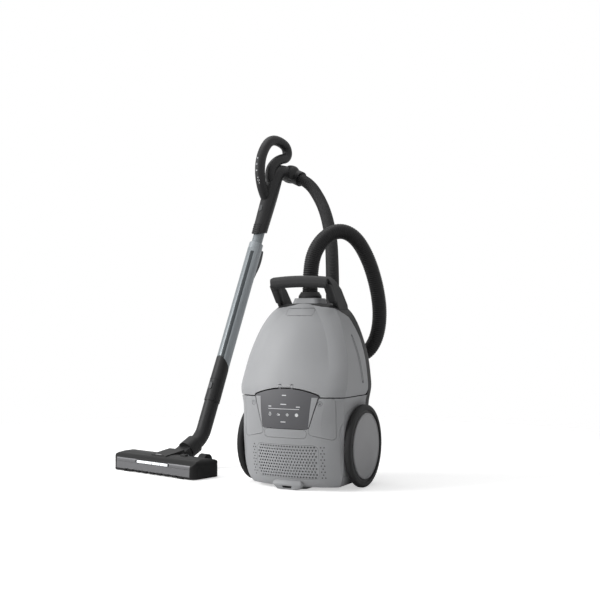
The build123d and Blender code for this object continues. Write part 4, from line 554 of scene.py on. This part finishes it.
FRONT = Face(Vector(), RIGHT, -FORWARD, UP)
RIGHT_SIDE = Face(Vector(), -FORWARD, -RIGHT, UP)
REAR = Face(Vector(), -RIGHT, FORWARD, UP)
LEFT_SIDE = Face(Vector(), FORWARD, RIGHT, UP)
NOZZLE_FRONT = Face(NOZZLE_AT, NOZZLE_RIGHT, NOZZLE_REAR, UP)
NOZZLE_TOP = Face(NOZZLE_AT, NOZZLE_RIGHT, -UP, NOZZLE_REAR)
WAND_FRONT = Face(WAND_FOOT, WAND_RIGHT, WAND_REAR, WAND_ALONG)
# The canister's flanks, with the sign of the way to the rear on each.
FLANKS = (("right", RIGHT_SIDE, 1), ("left", LEFT_SIDE, -1))


@dataclass(frozen=True)
class Disc:
    """A flat disc with its middle across and up a side, or a ring where its hole has a radius, in millimetres."""

    across: float
    up: float
    radius: float
    hole: float = 0.0
    sides: int = 32

    def draw(self, ahead: float) -> Piece:
        """Draw it.

        Args:
            ahead: how far in front of the side's origin.

        Returns:
            The flat shape.
        """
        shape = start(
            "disc", "circle", vertices=self.sides, radius=self.radius * MM, fill_type="NGON",
            location=metres((self.across, -ahead, self.up)), rotation=(math.pi / 2, 0, 0),
        )
        if self.hole:
            with editing():
                bpy.ops.mesh.inset(thickness=(self.radius - self.hole) * MM)
                bpy.ops.mesh.delete(type="FACE")
        return shape


@dataclass(frozen=True)
class Bar:
    """A flat bar with its middle across and up a side, in millimetres.

    Attributes:
        turn: clockwise turn in degrees.
        corner: radius of its corners.
        cuts: cuts that let it follow a curved solid.
        foot_left: how far the bottom left corner of an upright bar is moved to the right.
        foot_right: the same for its bottom right corner.
        corner_steps: edges of a rounded corner.
    """

    across: float
    up: float
    width: float
    height: float
    turn: float = 0.0
    corner: float = 0.0
    cuts: int = 0
    foot_left: float = 0.0
    foot_right: float = 0.0
    corner_steps: int = 4

    def draw(self, ahead: float) -> Piece:
        """Draw it.

        Args:
            ahead: how far in front of the side's origin.

        Returns:
            The flat shape.
        """
        shape = start(
            "bar", "plane", size=1,
            location=metres((self.across, -ahead, self.up)), rotation=(math.pi / 2, math.radians(self.turn), 0),
        )
        shape.scale = (self.width * MM, self.height * MM, 1)
        bpy.ops.object.transform_apply(location=False, rotation=False, scale=True)
        # A plane's first two corners are its bottom left and its bottom right one.
        for number, move in enumerate((self.foot_left, self.foot_right)):
            if move:
                with editing_some(shape, lambda vertex: vertex.index == number, "VERT"):
                    bpy.ops.transform.translate(value=metres((move, 0, 0)))
        with editing():
            if self.corner:
                bpy.ops.mesh.bevel(offset=self.corner * MM, segments=self.corner_steps, affect="VERTICES")
            if self.cuts:
                bpy.ops.mesh.subdivide(number_cuts=self.cuts)
        return shape


@dataclass
class Marks:
    """Flat shapes that are drawn in front of a solid and laid on it as thin raised marks.

    Attributes:
        face: the side that they are laid on.
        node: the solid that they lie on.
        thickness: in millimetres.
        raised: how far above the solid their middle lies, as a share of the thickness.
        ahead: how far in front of the side's origin they are drawn, in millimetres.
        missed: what moved less than this has missed the solid, in millimetres.
    """

    name: str
    face: Face
    node: str
    finish: Finish
    thickness: float = 0.3
    raised: float = 0.4
    ahead: float = 300.0
    missed: float = 1.0

    def lay(self, shapes: Sequence[Disc | Bar]) -> None:
        """Draw shapes, join them, lay them on their solid and give them thickness.

        Args:
            shapes: what is drawn.
        """
        drawn = [shape.draw(self.ahead) for shape in shapes]
        piece = drawn[0]
        select_only(piece)
        for shape in drawn:
            shape.select_set(True)
        if len(drawn) > 1:
            bpy.ops.object.join()
        piece.name = self.name
        bpy.ops.object.transform_apply()
        piece.matrix_world = self.face.matrix()
        modify(
            piece, "SHRINKWRAP", target=frame["nodes"][self.node], wrap_method="PROJECT", wrap_mode="ABOVE_SURFACE",
            use_project_y=True, use_positive_direction=True, offset=self.thickness * MM * self.raised,
        )
        nearest = -(self.ahead - self.missed) * MM
        with editing_some(piece, lambda vertex: vertex.co.y < nearest, "VERT"):
            bpy.ops.mesh.delete(type="VERT")
        modify(piece, "SOLIDIFY", thickness=self.thickness * MM, offset=0.0)
        settle(piece, self.node, self.finish)


@dataclass
class Canister:
    """The canister's printed and pressed detail and the small pieces of its housing, in millimetres."""

    # The panel's print: a word is a bar, by its place across, its place up and its width.
    words: Sequence[Triple] = (
        (-2.0, 219.0, 11.0), (-2.0, 198.6, 15.0), (-38.0, 193.4, 8.0), (35.0, 193.4, 10.0), (-2.0, 158.4, 13.0),
    )
    word_height: float = 2.0
    word_corner: float = 0.9
    icon_z: float = 175.0
    icons_x: Sequence[float] = (-37.0, -14.0, 9.0, 32.0)
    # The field of vent holes, past the grille's real ones, as discs of painted shade.
    holes_z: float = 67.0
    hole_pitch_x: float = 7.2
    hole_pitch_z: float = 7.0
    hole_columns: int = 26
    hole_rows: int = 11
    hole_sides: int = 12
    real_half: float = 71.0
    rim_half: float = 77.0
    rim_hole: float = 1.9
    shell_from: float = 81.5
    shell_hole: float = 1.5
    # The seals inside the lid's seam: a box, a lip above it and a lead at its front.
    seal_size: Triple = (3.0, 104.0, 8.0)
    seal_at: Triple = (128.2, -4.0, 209.0)
    seal_lip: Triple = (-0.4, 0.0, 14.0)
    seal_lip_share: Triple = (0.5, 1.0, 1.0)
    seal_lead: Triple = (-2.4, -17.0, 0.0)
    seal_round: float = 0.4
    seal_steps: int = 2
    # The chin under the grille: a box, tapered to its foot, a neck above it and a slot in its front.
    chin_size: Triple = (78.0, 40.0, 13.0)
    chin_at: Triple = (0.0, -85.0, 7.5)
    chin_foot_share: Triple = (0.7, 0.85, 1.0)
    chin_foot_move: Triple = (0.0, 2.0, 0.0)
    chin_neck: Triple = (0.0, 4.0, 10.0)
    chin_neck_share: Triple = (0.84, 0.8, 1.0)
    chin_round: tuple[float, int] = (3.0, 4)
    slot_below: float = 14.0
    slot_rim: float = 1.2
    slot_share: Triple = (0.42, 1.0, 1.0)
    slot_depth: Triple = (0.0, 12.0, 0.0)
    # The webs under the carry handle's bar, tapered downwards.
    gusset_size: Triple = (19.0, 34.0, 44.0)
    gusset_at: Triple = (71.2, -28.0, 454.0)
    gusset_share: Triple = (1.0, 0.34, 1.0)
    gusset_move: Triple = (0.0, 25.0, 0.0)
    gusset_round: tuple[float, int] = (5.0, 5)

    def build(self) -> None:
        """Add every piece of the canister."""
        for add in (
            self.panel, self.wings, self.pedals, self.vents, self.lid,
            self.seals, self.chin, self.wheels, self.belly, self.gussets,
        ):
            add()

    def panel(self) -> None:
        """Print the power scale, the bars that stand for words and four plain icons."""
        bag, cloud, window, sun = self.icons_x
        Marks("panel_print", FRONT, "control_panel", WHITE_INK).lay([
            Bar(-2.0, 188.0, 80.0, 1.1, cuts=11),
            *(Bar(across, up, width, self.word_height, corner=self.word_corner) for across, up, width in self.words),
            Disc(bag, self.icon_z, 3.6, 2.7, sides=6),
            Bar(bag, self.icon_z + 4.4, 3.4, 0.9),
            Disc(cloud - 1.2, self.icon_z, 2.6, 1.8),
            Disc(cloud + 1.9, self.icon_z - 0.5, 1.9),
            Disc(window, self.icon_z, 3.9, 3.0, sides=4),
            Bar(window, self.icon_z, 2.0, 2.0),
            Disc(sun, self.icon_z, 4.0),
        ])

    def wings(self) -> None:
        """Carry the pedals' silver on over the panel's slanted edges, so that its dark field stands upright."""
        for side, bar in (
            ("left", Bar(-73.3, 181.5, 14.6, 68.0, cuts=12, foot_left=20.4, foot_right=6.8)),
            ("right", Bar(73.3, 181.5, 14.6, 68.0, cuts=12, foot_left=-6.8, foot_right=-20.4)),
        ):
            Marks(f"panel_wing_{side}", FRONT, "control_panel", SILVER_ABS, thickness=0.6).lay([bar])

    def pedals(self) -> None:
        """Press a power symbol in the left pedal and a cord symbol in the right one."""
        Marks("power_symbol", FRONT, "power_pedal", GREY_LINE_AND_SHADE).lay([
            Disc(-87.0, 199.5, 5.6, 4.8),
            Bar(-87.0, 201.2, 0.9, 4.4),
        ])
        Marks("rewind_symbol", FRONT, "rewind_pedal", GREY_LINE_AND_SHADE).lay([
            Disc(85.0, 201.8, 5.6, 4.8),
            Bar(85.0, 200.2, 4.0, 2.4, corner=0.5),
            Bar(83.9, 203.0, 0.8, 2.6),
            Bar(86.1, 203.0, 0.8, 2.6),
        ])

    def vents(self) -> None:
        """Carry the field of vent holes on past the grille's own, smaller on the shell, as flat discs of painted shade.
        """
        rim, shell = [], []
        for row in range(self.hole_rows):
            up = self.holes_z + (row - (self.hole_rows - 1) / 2) * self.hole_pitch_z
            stagger = self.hole_pitch_x / 4 * (-1 if row % 2 else 1)
            for column in range(self.hole_columns):
                across = (column - (self.hole_columns - 1) / 2) * self.hole_pitch_x + stagger
                if abs(across) < self.real_half and 0 < row < self.hole_rows - 1:
                    continue
                if abs(across) < self.rim_half:
                    rim.append(Disc(across, up, self.rim_hole, sides=self.hole_sides))
                elif abs(across) > self.shell_from:
                    shell.append(Disc(across, up, self.shell_hole, sides=self.hole_sides))
        Marks("vent_shell_hole_shade", FRONT, "body_shell", HOLE_SHADE_AND_DIVIDER).lay(shell)
        Marks("vent_rim_hole_shade", FRONT, "exhaust_grille", HOLE_SHADE_AND_DIVIDER).lay(rim)

    def lid(self) -> None:
        """Lay a long slim grey line on each flank of the lid: painted shade that stands for a hollow there."""
        for side, face, sign in FLANKS:
            Marks(f"lid_hollow_shade_{side}", face, "dust_lid", GREY_LINE_AND_SHADE, thickness=0.8).lay([
                Bar(sign * 14.0, 301.0, 6.4, 116.0, turn=sign * -7.0, corner=3.1, cuts=24),
            ])

    def seals(self) -> None:
        """Model a rubber seal inside each side wall, so that no light comes through the lid's seam."""
        for side, sign in SIDES:
            seal = block(f"lid_seal_{side}", self.seal_size, mirrored(self.seal_at, sign))
            with editing_some(seal, facing(UP)):
                extrude(mirrored(self.seal_lip, sign))
                bpy.ops.transform.resize(value=self.seal_lip_share)
            with editing_some(seal, facing(FORWARD)):
                extrude(mirrored(self.seal_lead, sign))
                bpy.ops.mesh.select_all(action="SELECT")
                bpy.ops.mesh.bevel(offset=self.seal_round * MM, segments=self.seal_steps)
            settle(seal, "body_shell", TYRE_RUBBER)

    def chin(self) -> None:
        """Model the tapered chin under the grille, with the slot that holds the nozzle's hook in parking."""
        chin = block("parking_chin", self.chin_size, self.chin_at)
        with editing_some(chin, facing(-UP)):
            bpy.ops.transform.resize(value=self.chin_foot_share)
            bpy.ops.transform.translate(value=metres(self.chin_foot_move))
        with editing_some(chin, facing(UP)):
            extrude(self.chin_neck)
            bpy.ops.transform.resize(value=self.chin_neck_share)
        soften(chin, *self.chin_round)
        bpy.ops.object.shade_smooth_by_angle(angle=SMOOTH_BLOCK)
        paint(chin, SILVER_ABS, HOLE_SHADE_AND_DIVIDER)
        fronts = filter(facing(FORWARD), chin.data.polygons)
        low_fronts = [polygon for polygon in fronts if polygon.center.z < self.slot_below * MM]
        widest = max(low_fronts, key=lambda polygon: polygon.area).index
        # The slot's faces are painted dark: painted shade inside the recess.
        with editing_some(chin, lambda polygon: polygon.index == widest):
            bpy.ops.mesh.inset(thickness=self.slot_rim * MM)
            bpy.ops.transform.resize(value=self.slot_share)
            extrude(self.slot_depth)
            bpy.ops.mesh.select_more()
            chin.active_material_index = chin.data.materials.find(HOLE_SHADE_AND_DIVIDER.name)
            bpy.ops.object.material_slot_assign()
        settle(chin, "body_shell", SILVER_ABS)

    def wheels(self) -> None:
        """Set a slim bright ring in each hub."""
        for side, face, sign in FLANKS:
            Marks(f"hub_ring_{side}", face, f"hub_cap_{side}", HUB_LACQUER, thickness=0.8).lay([
                Disc(sign * 17.0, 97.0, 75.5, 73.5, sides=96),
            ])

    def belly(self) -> None:
        """Lay two skid ribs, a blank rating plate and the screws on the chassis."""
        Marks("belly_ribs", REAR, "chassis", BLACK_PP, thickness=2.4).lay([
            Bar(across, 150.0, 7.0, 170.0, cuts=17) for across in (-62.0, 62.0)
        ])
        Marks("rating_plate", REAR, "chassis", KEY_ABS, thickness=0.5).lay([
            Bar(0.0, 108.0, 74.0, 44.0, corner=3.0, cuts=6),
        ])
        heads = []
        for across, up in ((-92.0, 40.0), (92.0, 40.0), (-92.0, 262.0), (92.0, 262.0)):
            heads += [Disc(across, up, 4.2, sides=24), Disc(across, up, 6.4, 5.4, sides=24)]
        Marks("belly_screws", REAR, "chassis", DARK_STEEL_AND_REFLECTION, thickness=0.6).lay(heads)

    def gussets(self) -> None:
        """Model the webs that lead the carry handle's bar smoothly into its arms."""
        for side, sign in SIDES:
            gusset = block(f"handle_gusset_{side}", self.gusset_size, mirrored(self.gusset_at, sign))
            with editing_some(gusset, facing(-UP)):
                bpy.ops.transform.resize(value=self.gusset_share)
                bpy.ops.transform.translate(value=metres(self.gusset_move))
            soften(gusset, *self.gusset_round)
            bpy.ops.object.shade_smooth_by_angle(angle=SMOOTH_BLOCK)
            settle(gusset, "carry_handle", BLACK_PP)


@dataclass
class Wand:
    """The wand's outer tube, with a channel down its front, and the marks on grip and sleeves, in millimetres."""

    # Heights along the wand. Below the shank's the tube is narrower, because the sleeve hides it there.
    bottom: float = 204.0
    shank: float = 246.0
    top: float = 640.0
    shank_share: float = 0.87
    shank_step: float = 2.0
    end_margin: float = 0.1
    half_width: float = 20.5
    half_depth: float = 20.2
    tube_sides: int = 72
    wall: float = 1.2
    # The channel's place round the front, as the part of a face's normal that goes to the right.
    channel_from: float = 0.26
    channel_to: float = 0.70
    channel_rim: float = 0.8
    channel_depth: float = 1.2
    ridge_heights: Sequence[float] = (688.0, 694.0, 700.0, 706.0, 712.0)

    def build(self) -> None:
        """Add the tube and the marks."""
        self.tube()
        self.grip_print()
        self.sleeve_ridges()

    def tube(self) -> None:
        """Draw the outer tube along the wand."""
        tube = start(
            "oval_outer_tube", "cylinder", vertices=self.tube_sides, radius=1.0, depth=1.0, end_fill_type="NOTHING"
        )
        tube.scale = metres((self.half_width, self.half_depth, self.top - self.shank))
        tube.location = metres((0.0, 0.0, (self.top + self.shank) / 2))
        bpy.ops.object.transform_apply()
        # The front takes the plain steel. The flanks and rear take a paler copy as painted sheen, and the channel takes
        # a darker copy as painted reflection.
        paint(tube, DRAWN_STEEL, DARK_STEEL_AND_REFLECTION, FLANK_SHEEN_STEEL)
        flank = tube.data.materials.find(FLANK_SHEEN_STEEL.name)
        for polygon in tube.data.polygons:
            polygon.material_index = flank if polygon.normal.y > 0 or polygon.normal.x > self.channel_to else 0
        with editing_some(
            tube, lambda polygon: polygon.normal.y < 0 and self.channel_from < polygon.normal.x < self.channel_to
        ):
            bpy.ops.mesh.inset(thickness=self.channel_rim * MM)
            bpy.ops.transform.shrink_fatten(value=-self.channel_depth * MM)
            tube.active_material_index = tube.data.materials.find(DARK_STEEL_AND_REFLECTION.name)
            bpy.ops.object.material_slot_assign()
        lowest_end = (self.shank + self.end_margin) * MM
        with editing_some(tube, lambda vertex: vertex.co.z < lowest_end, "VERT"):
            extrude((0, 0, -self.shank_step))
            bpy.ops.transform.resize(value=(self.shank_share, self.shank_share, 1.0))
            extrude((0, 0, self.bottom - self.shank + self.shank_step))
        modify(tube, "SOLIDIFY", thickness=self.wall * MM, offset=-1.0)
        bpy.ops.object.shade_smooth_by_angle(angle=SMOOTH_TUBE)
        tube.matrix_world = WAND_FRONT.matrix()
        settle(tube, "outer_tube", DRAWN_STEEL)
        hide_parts("outer_tube")

    def grip_print(self) -> None:
        """Print plain signs on the grip's front and on its keys."""
        Marks("grip_print", NOZZLE_FRONT, "handle_grip", WHITE_INK).lay([
            Bar(3.5, 800.0, 4.6, 1.4, corner=0.5),
            Disc(4.2, 792.5, 2.8, 2.0),
            Bar(5.0, 784.5, 1.3, 5.0, corner=0.4),
        ])
        for key, up in (("upper_key", 856.0), ("middle_key", 838.0), ("lower_key", 820.0)):
            Marks(f"{key}_sign", NOZZLE_FRONT, key, WHITE_INK).lay([Bar(0.0, up, 4.4, 1.5, corner=0.5)])

    def sleeve_ridges(self) -> None:
        """Raise the finger ridges at the foot of the handle's sleeve and the seam across the lower sleeve."""
        Marks("handle_ridges", WAND_FRONT, "handle_sleeve", BLACK_PP, thickness=1.6).lay([
            Bar(0.0, up, 26.0, 2.4, cuts=11) for up in self.ridge_heights
        ])
        Marks("sleeve_seam", WAND_FRONT, "tube_sleeve", TYRE_RUBBER, thickness=0.6).lay([
            Bar(0.0, 246.0, 39.0, 1.2, cuts=20),
        ])


@dataclass
class FloorNozzle:
    """The nozzle's front with its painted sheen, its badge, its switch and the hump over a rear wheel, in millimetres.
    """

    # The hump: a cylinder across the nozzle, cut off below.
    hump_at: Triple = (112.0, 78.0, 42.0)
    hump_radius: float = 14.0
    hump_width: float = 24.0
    hump_sides: int = 48
    hump_bottom: float = 40.0
    hump_round: tuple[float, int, float] = (5.0, 5, 40.0)
    hump_merge: float = 0.02
    # The switch: a box, tapered upwards, with a shallow dish in its top.
    switch_size: Triple = (22.0, 14.0, 9.0)
    switch_at: Triple = (66.0, 50.0, 49.5)
    switch_share: Triple = (0.8, 0.7, 1.0)
    switch_rim: float = 1.5
    switch_dish: Triple = (0.0, 0.0, -0.6)
    switch_round: tuple[float, int, float] = (1.6, 4, 30.0)

    def build(self) -> None:
        """Add every piece of the nozzle."""
        # The front's grey bars are painted sheen: the light that falls on the black cover's front.
        Marks("front_painted_sheen", NOZZLE_FRONT, "nozzle_cover", FRONT_SHEEN_GREY, thickness=0.5).lay([
            Bar(0.0, 16.5, 274.0, 18.0, cuts=40),
            Bar(-97.0, 30.5, 80.0, 9.0, cuts=12),
            Bar(97.0, 30.5, 80.0, 9.0, cuts=12),
        ])
        Marks("shroud_badge", NOZZLE_TOP, "nozzle_cover", HUB_LACQUER, thickness=0.5).lay([
            Bar(-4.0, 27.0, 22.0, 3.6, corner=1.2),
        ])
        Marks("lamp_dividers", NOZZLE_FRONT, "led_lens", HOLE_SHADE_AND_DIVIDER, thickness=0.4).lay([
            Bar(across, 30.0, 1.6, 5.6) for across in (-28.5, 0.0, 28.5)
        ])
        self.hump()
        self.switch()

    def hump(self) -> None:
        """Model the rounded hump over the right rear wheel."""
        hump = start(
            "wheel_hump", "cylinder", vertices=self.hump_sides, radius=self.hump_radius * MM,
            depth=self.hump_width * MM, location=metres(self.hump_at), rotation=(0, math.pi / 2, 0),
        )
        bpy.ops.object.transform_apply()
        with editing():
            bpy.ops.mesh.bisect(
                plane_co=metres((0, 0, self.hump_bottom)), plane_no=UP, use_fill=True, clear_inner=True
            )
        soften(hump, *self.hump_round)
        with editing():
            bpy.ops.mesh.remove_doubles(threshold=self.hump_merge * MM)
            bpy.ops.mesh.dissolve_degenerate(threshold=self.hump_merge * MM)
        bpy.ops.object.shade_smooth_by_angle(angle=SMOOTH_ROUND)
        hump.matrix_world = NOZZLE_FRONT.matrix()
        settle(hump, "nozzle_cover", NOZZLE_SHADED_ABS)

    def switch(self) -> None:
        """Model the rocker switch beside the shroud."""
        switch = block("nozzle_switch", self.switch_size, self.switch_at)
        with editing_some(switch, facing(UP)):
            bpy.ops.transform.resize(value=self.switch_share)
            bpy.ops.mesh.inset(thickness=self.switch_rim * MM)
            bpy.ops.transform.translate(value=metres(self.switch_dish))
        soften(switch, *self.switch_round)
        bpy.ops.object.shade_smooth_by_angle(angle=SMOOTH_ROUND)
        switch.matrix_world = NOZZLE_FRONT.matrix()
        settle(switch, "nozzle_cover", NOZZLE_SHADED_ABS)


@dataclass
class Hose:
    """The ribbed hose from the handle's elbow down behind the canister and over into its inlet, in metres."""

    route: Sequence[Triple] = (
        (-0.245452, 0.459802, 0.806318), (-0.213443, 0.452253, 0.791676), (-0.158, 0.410, 0.734),
        (-0.113, 0.356, 0.680), (-0.069, 0.290, 0.609), (-0.038, 0.229, 0.535), (-0.021, 0.194, 0.471),
        (-0.011, 0.173, 0.413), (-0.001, 0.162, 0.362), (0.018, 0.159, 0.317), (0.054, 0.163, 0.299),
        (0.091, 0.167, 0.312), (0.115, 0.168, 0.353), (0.124, 0.164, 0.413), (0.118, 0.154, 0.480),
        (0.102, 0.138, 0.547), (0.080, 0.112, 0.598), (0.052, 0.080, 0.615), (0.024, 0.047, 0.595),
        (0.005, 0.025, 0.553), (0.0, 0.019, 0.4965), (0.0, 0.019, 0.4605),
    )
    line_order: int = 3
    line_steps: int = 40
    handle_radius: float = 16.5 * MM
    socket_radius: float = 19.0 * MM
    rib_pitch: float = 4.9 * MM
    rib_depth: float = 1.9 * MM
    # A rib's outline: shares of the pitch and of the depth.
    rib_profile: Sequence[tuple[float, float]] = ((0.0, 0.0), (0.18, 0.75), (0.34, 1.0), (0.66, 1.0), (0.82, 0.75))
    sides: int = 32
    path_step: int = 8
    # The cover of the swivel: a ball, flattened and with its ends cut off, as shares of its radius.
    ball_at: Vector = Vector((-0.2800, 0.4604, 0.8232))
    ball_radius: float = 28.0 * MM
    ball_depth: float = 0.9
    ball_cut: float = 0.78
    ball_segments: tuple[int, int] = (48, 24)

    def line(self) -> list[Vector]:
        """Draw the route as one smooth spline and read the points along it.

        Returns:
            Points along the hose's centre line.
        """
        curve = bpy.data.curves.new("hose_line", "CURVE")
        curve.dimensions = "3D"
        spline = curve.splines.new("NURBS")
        spline.points.add(len(self.route) - 1)
        for point, place in zip(spline.points, self.route):
            point.co = (*place, 1.0)
        spline.order_u = self.line_order
        spline.use_endpoint_u = True
        spline.resolution_u = self.line_steps
        holder = bpy.data.objects.new("hose_line", curve)
        bpy.context.scene.collection.objects.link(holder)
        bpy.context.view_layer.update()
        mesh = bpy.data.meshes.new_from_object(holder)
        points = [vertex.co.copy() for vertex in mesh.vertices]
        bpy.data.objects.remove(holder)
        bpy.data.meshes.remove(mesh)
        return points

    def build(self) -> None:
        """Make the ribbed tube along the line, and the cover of its swivel."""
        points = self.line()
        travelled = [0.0]
        for before, after in zip(points, points[1:]):
            travelled.append(travelled[-1] + (after - before).length)
        length = travelled[-1]
        ribs = round(length / self.rib_pitch)
        shares = [(rib + part) / ribs for rib in range(ribs) for part, _ in self.rib_profile] + [1.0]
        swells = [swell for _ in range(ribs) for _, swell in self.rib_profile] + [0.0]
        vertices, faces = [], []
        side = (points[1] - points[0]).orthogonal().normalized()
        index = 0
        for share, swell in zip(shares, swells):
            reach = share * length
            while index < len(points) - 2 and travelled[index + 1] < reach:
                index += 1
            run = points[index + 1] - points[index]
            centre = points[index] + run * ((reach - travelled[index]) / run.length)
            heading = run.normalized()
            side = (side - heading * side.dot(heading)).normalized()
            across = heading.cross(side)
            radius = self.handle_radius + (self.socket_radius - self.handle_radius) * share
            radius -= self.rib_depth * (1.0 - swell)
            for corner in range(self.sides):
                angle = 2 * math.pi * corner / self.sides
                vertices.append(centre + (side * math.cos(angle) + across * math.sin(angle)) * radius)
        rings = len(shares)
        for ring in range(rings - 1):
            for corner in range(self.sides):
                after = (corner + 1) % self.sides
                low, high = ring * self.sides, (ring + 1) * self.sides
                faces.append((low + corner, low + after, high + after, high + corner))
        faces.append(tuple(reversed(range(self.sides))))
        faces.append(tuple(range((rings - 1) * self.sides, rings * self.sides)))
        mesh = bpy.data.meshes.new("ribbed_hose")
        mesh.from_pydata(vertices, [], faces)
        mesh.polygons.foreach_set("use_smooth", [True] * len(mesh.polygons))
        hose = bpy.data.objects.new("ribbed_hose", mesh)
        bpy.context.scene.collection.objects.link(hose)
        self.dress(hose, points, length)
        self.ball()

    def dress(self, hose: Piece, points: list[Vector], length: float) -> None:
        """Finish the hose, let it ride on the canister and log its length.

        Args:
            hose: the tube.
            points: its centre line; not used.
            length: its length in metres.
        """
        paint(hose, HOSE_RUBBER)
        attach(hose, "canister")
        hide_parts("hose")
        LOG.info("hose %.0f mm long", length / MM)

    def ball(self) -> None:
        """Model the rounded cover of the swivel, where the hose's elbow enters the handle."""
        segments, rings = self.ball_segments
        ball = start("swivel_cover", "uv_sphere", segments=segments, ring_count=rings, radius=1.0)
        ball.scale = (self.ball_radius, self.ball_radius * self.ball_depth, self.ball_radius)
        bpy.ops.object.transform_apply()
        with editing():
            for end in (-1, 1):
                bpy.ops.mesh.select_all(action="SELECT")
                bpy.ops.mesh.bisect(
                    plane_co=(0, 0, end * self.ball_cut * self.ball_radius), plane_no=(0, 0, -end),
                    use_fill=True, clear_inner=True,
                )
        bpy.ops.object.shade_smooth_by_angle(angle=SMOOTH_ROUND)
        ball.matrix_world = Matrix.Translation(self.ball_at) @ wand_turn().to_matrix().to_4x4()
        settle(ball, "hose_elbow", BLACK_ABS)


@dataclass
class Studio:
    """The floor, the room, the lamps and the camera, in metres."""

    eye: Vector = Vector((1.0667, -2.1567, 0.388))
    gaze: Vector = Vector((-0.4492, 0.8932, 0.0209))
    lens_mm: float = 59.8
    sensor_mm: float = 36.0
    sight: float = 60.0
    # The floor fades out, and gives off light to the camera alone, so that it shows white.
    floor_half: float = 3.0
    floor_near: float = 0.9
    floor_far: float = 1.8
    floor_lift: float = 0.54
    # The room's strength as light on the object, and where it is seen.
    room_light: float = 0.24
    room_white: float = 1.0
    # Each lamp's name, place, width and power in watts, and what they all look at.
    aim: Vector = Vector((-0.1, 0.0, 0.3))
    soft_boxes: Sequence[tuple[str, Triple, float, float]] = (
        ("left_soft_box", (-2.2, -1.7, 1.5), 1.4, 66.0),
        ("right_soft_box", (2.4, -0.2, 1.3), 1.2, 4.0),
        ("top_soft_box", (-0.6, 0.0, 2.6), 1.8, 24.0),
    )

    def build(self) -> None:
        """Set the stage."""
        self.camera()
        self.floor()
        self.room()
        self.lamps()
        bpy.context.scene.view_settings.view_transform = "Standard"

    def camera(self) -> None:
        """Put the camera at the photograph's place."""
        camera = bpy.data.cameras.new("camera")
        camera.lens = self.lens_mm
        camera.sensor_width = self.sensor_mm
        camera.clip_end = self.sight
        holder = bpy.data.objects.new("camera", camera)
        holder.location = self.eye
        holder.rotation_euler = self.gaze.to_track_quat("-Z", "Y").to_euler()
        bpy.context.scene.collection.objects.link(holder)
        bpy.context.scene.camera = holder

    def floor(self) -> None:
        """Lay a plain pale floor that shows white to the camera and keeps a soft shadow."""
        floor = start("pale_floor", "plane", size=2 * self.floor_half, location=(0, 0, 0))
        material = bpy.data.materials.new("pale_floor_paper")
        material.use_nodes = True
        tree = material.node_tree
        tree.nodes.clear()
        seen = add_node(tree, "LightPath").outputs["Is Camera Ray"]
        paper = add_node(tree, "BsdfDiffuse", {"Color": to_linear("#F4F4F4")})
        lift = add_node(tree, "Math", {0: seen, 1: self.floor_lift}, operation="MULTIPLY")
        shine = add_node(tree, "Emission", {"Strength": lift.outputs[0]})
        lit = add_node(tree, "AddShader", {0: paper.outputs[0], 1: shine.outputs[0]})
        place = add_node(tree, "TexCoord").outputs["Object"]
        away = add_node(tree, "VectorMath", {0: place}, operation="LENGTH")
        reach = {"Value": away.outputs["Value"], "From Min": self.floor_near, "From Max": self.floor_far}
        fade = add_node(tree, "MapRange", reach)
        clear = add_node(tree, "BsdfTransparent")
        shaders = {0: fade.outputs["Result"], 1: lit.outputs[0], 2: clear.outputs["BSDF"]}
        shown = add_node(tree, "MixShader", shaders)
        add_node(tree, "OutputMaterial", {"Surface": shown.outputs["Shader"]})
        floor.data.materials.append(material)

    def room(self) -> None:
        """Put a pale room round the stage that shows white and lights it softly."""
        world = bpy.data.worlds.new("pale_room")
        bpy.context.scene.world = world
        world.use_nodes = True
        tree = world.node_tree
        tree.nodes.clear()
        path = add_node(tree, "LightPath")
        seen = path.outputs["Is Camera Ray"]
        for ray in ("Is Glossy Ray", "Is Transmission Ray"):
            seen = add_node(tree, "Math", {0: seen, 1: path.outputs[ray]}, operation="MAXIMUM").outputs[0]
        levels = {"Value": seen, "To Min": self.room_light, "To Max": self.room_white}
        strength = add_node(tree, "MapRange", levels).outputs["Result"]
        room = add_node(tree, "Background", {"Color": to_linear("#FFFFFF"), "Strength": strength})
        add_node(tree, "OutputWorld", {"Surface": room.outputs["Background"]})

    def lamps(self) -> None:
        """Hang a large soft box on each side and one above."""
        for name, place, size, power in self.soft_boxes:
            lamp = bpy.data.lights.new(name, "AREA")
            lamp.size = size
            lamp.energy = power
            holder = bpy.data.objects.new(name, lamp)
            holder.location = place
            holder.rotation_euler = (self.aim - Vector(place)).to_track_quat("-Z", "Y").to_euler()
            bpy.context.scene.collection.objects.link(holder)


def main() -> None:
    """Build the stage, dress the solids and add the pieces."""
    logging.basicConfig(level=logging.INFO, format="%(name)s: %(message)s")
    Studio().build()
    Dresser().dress()
    Hose().build()
    Canister().build()
    Wand().build()
    FloorNozzle().build()


if __name__ == "__main__":
    main()
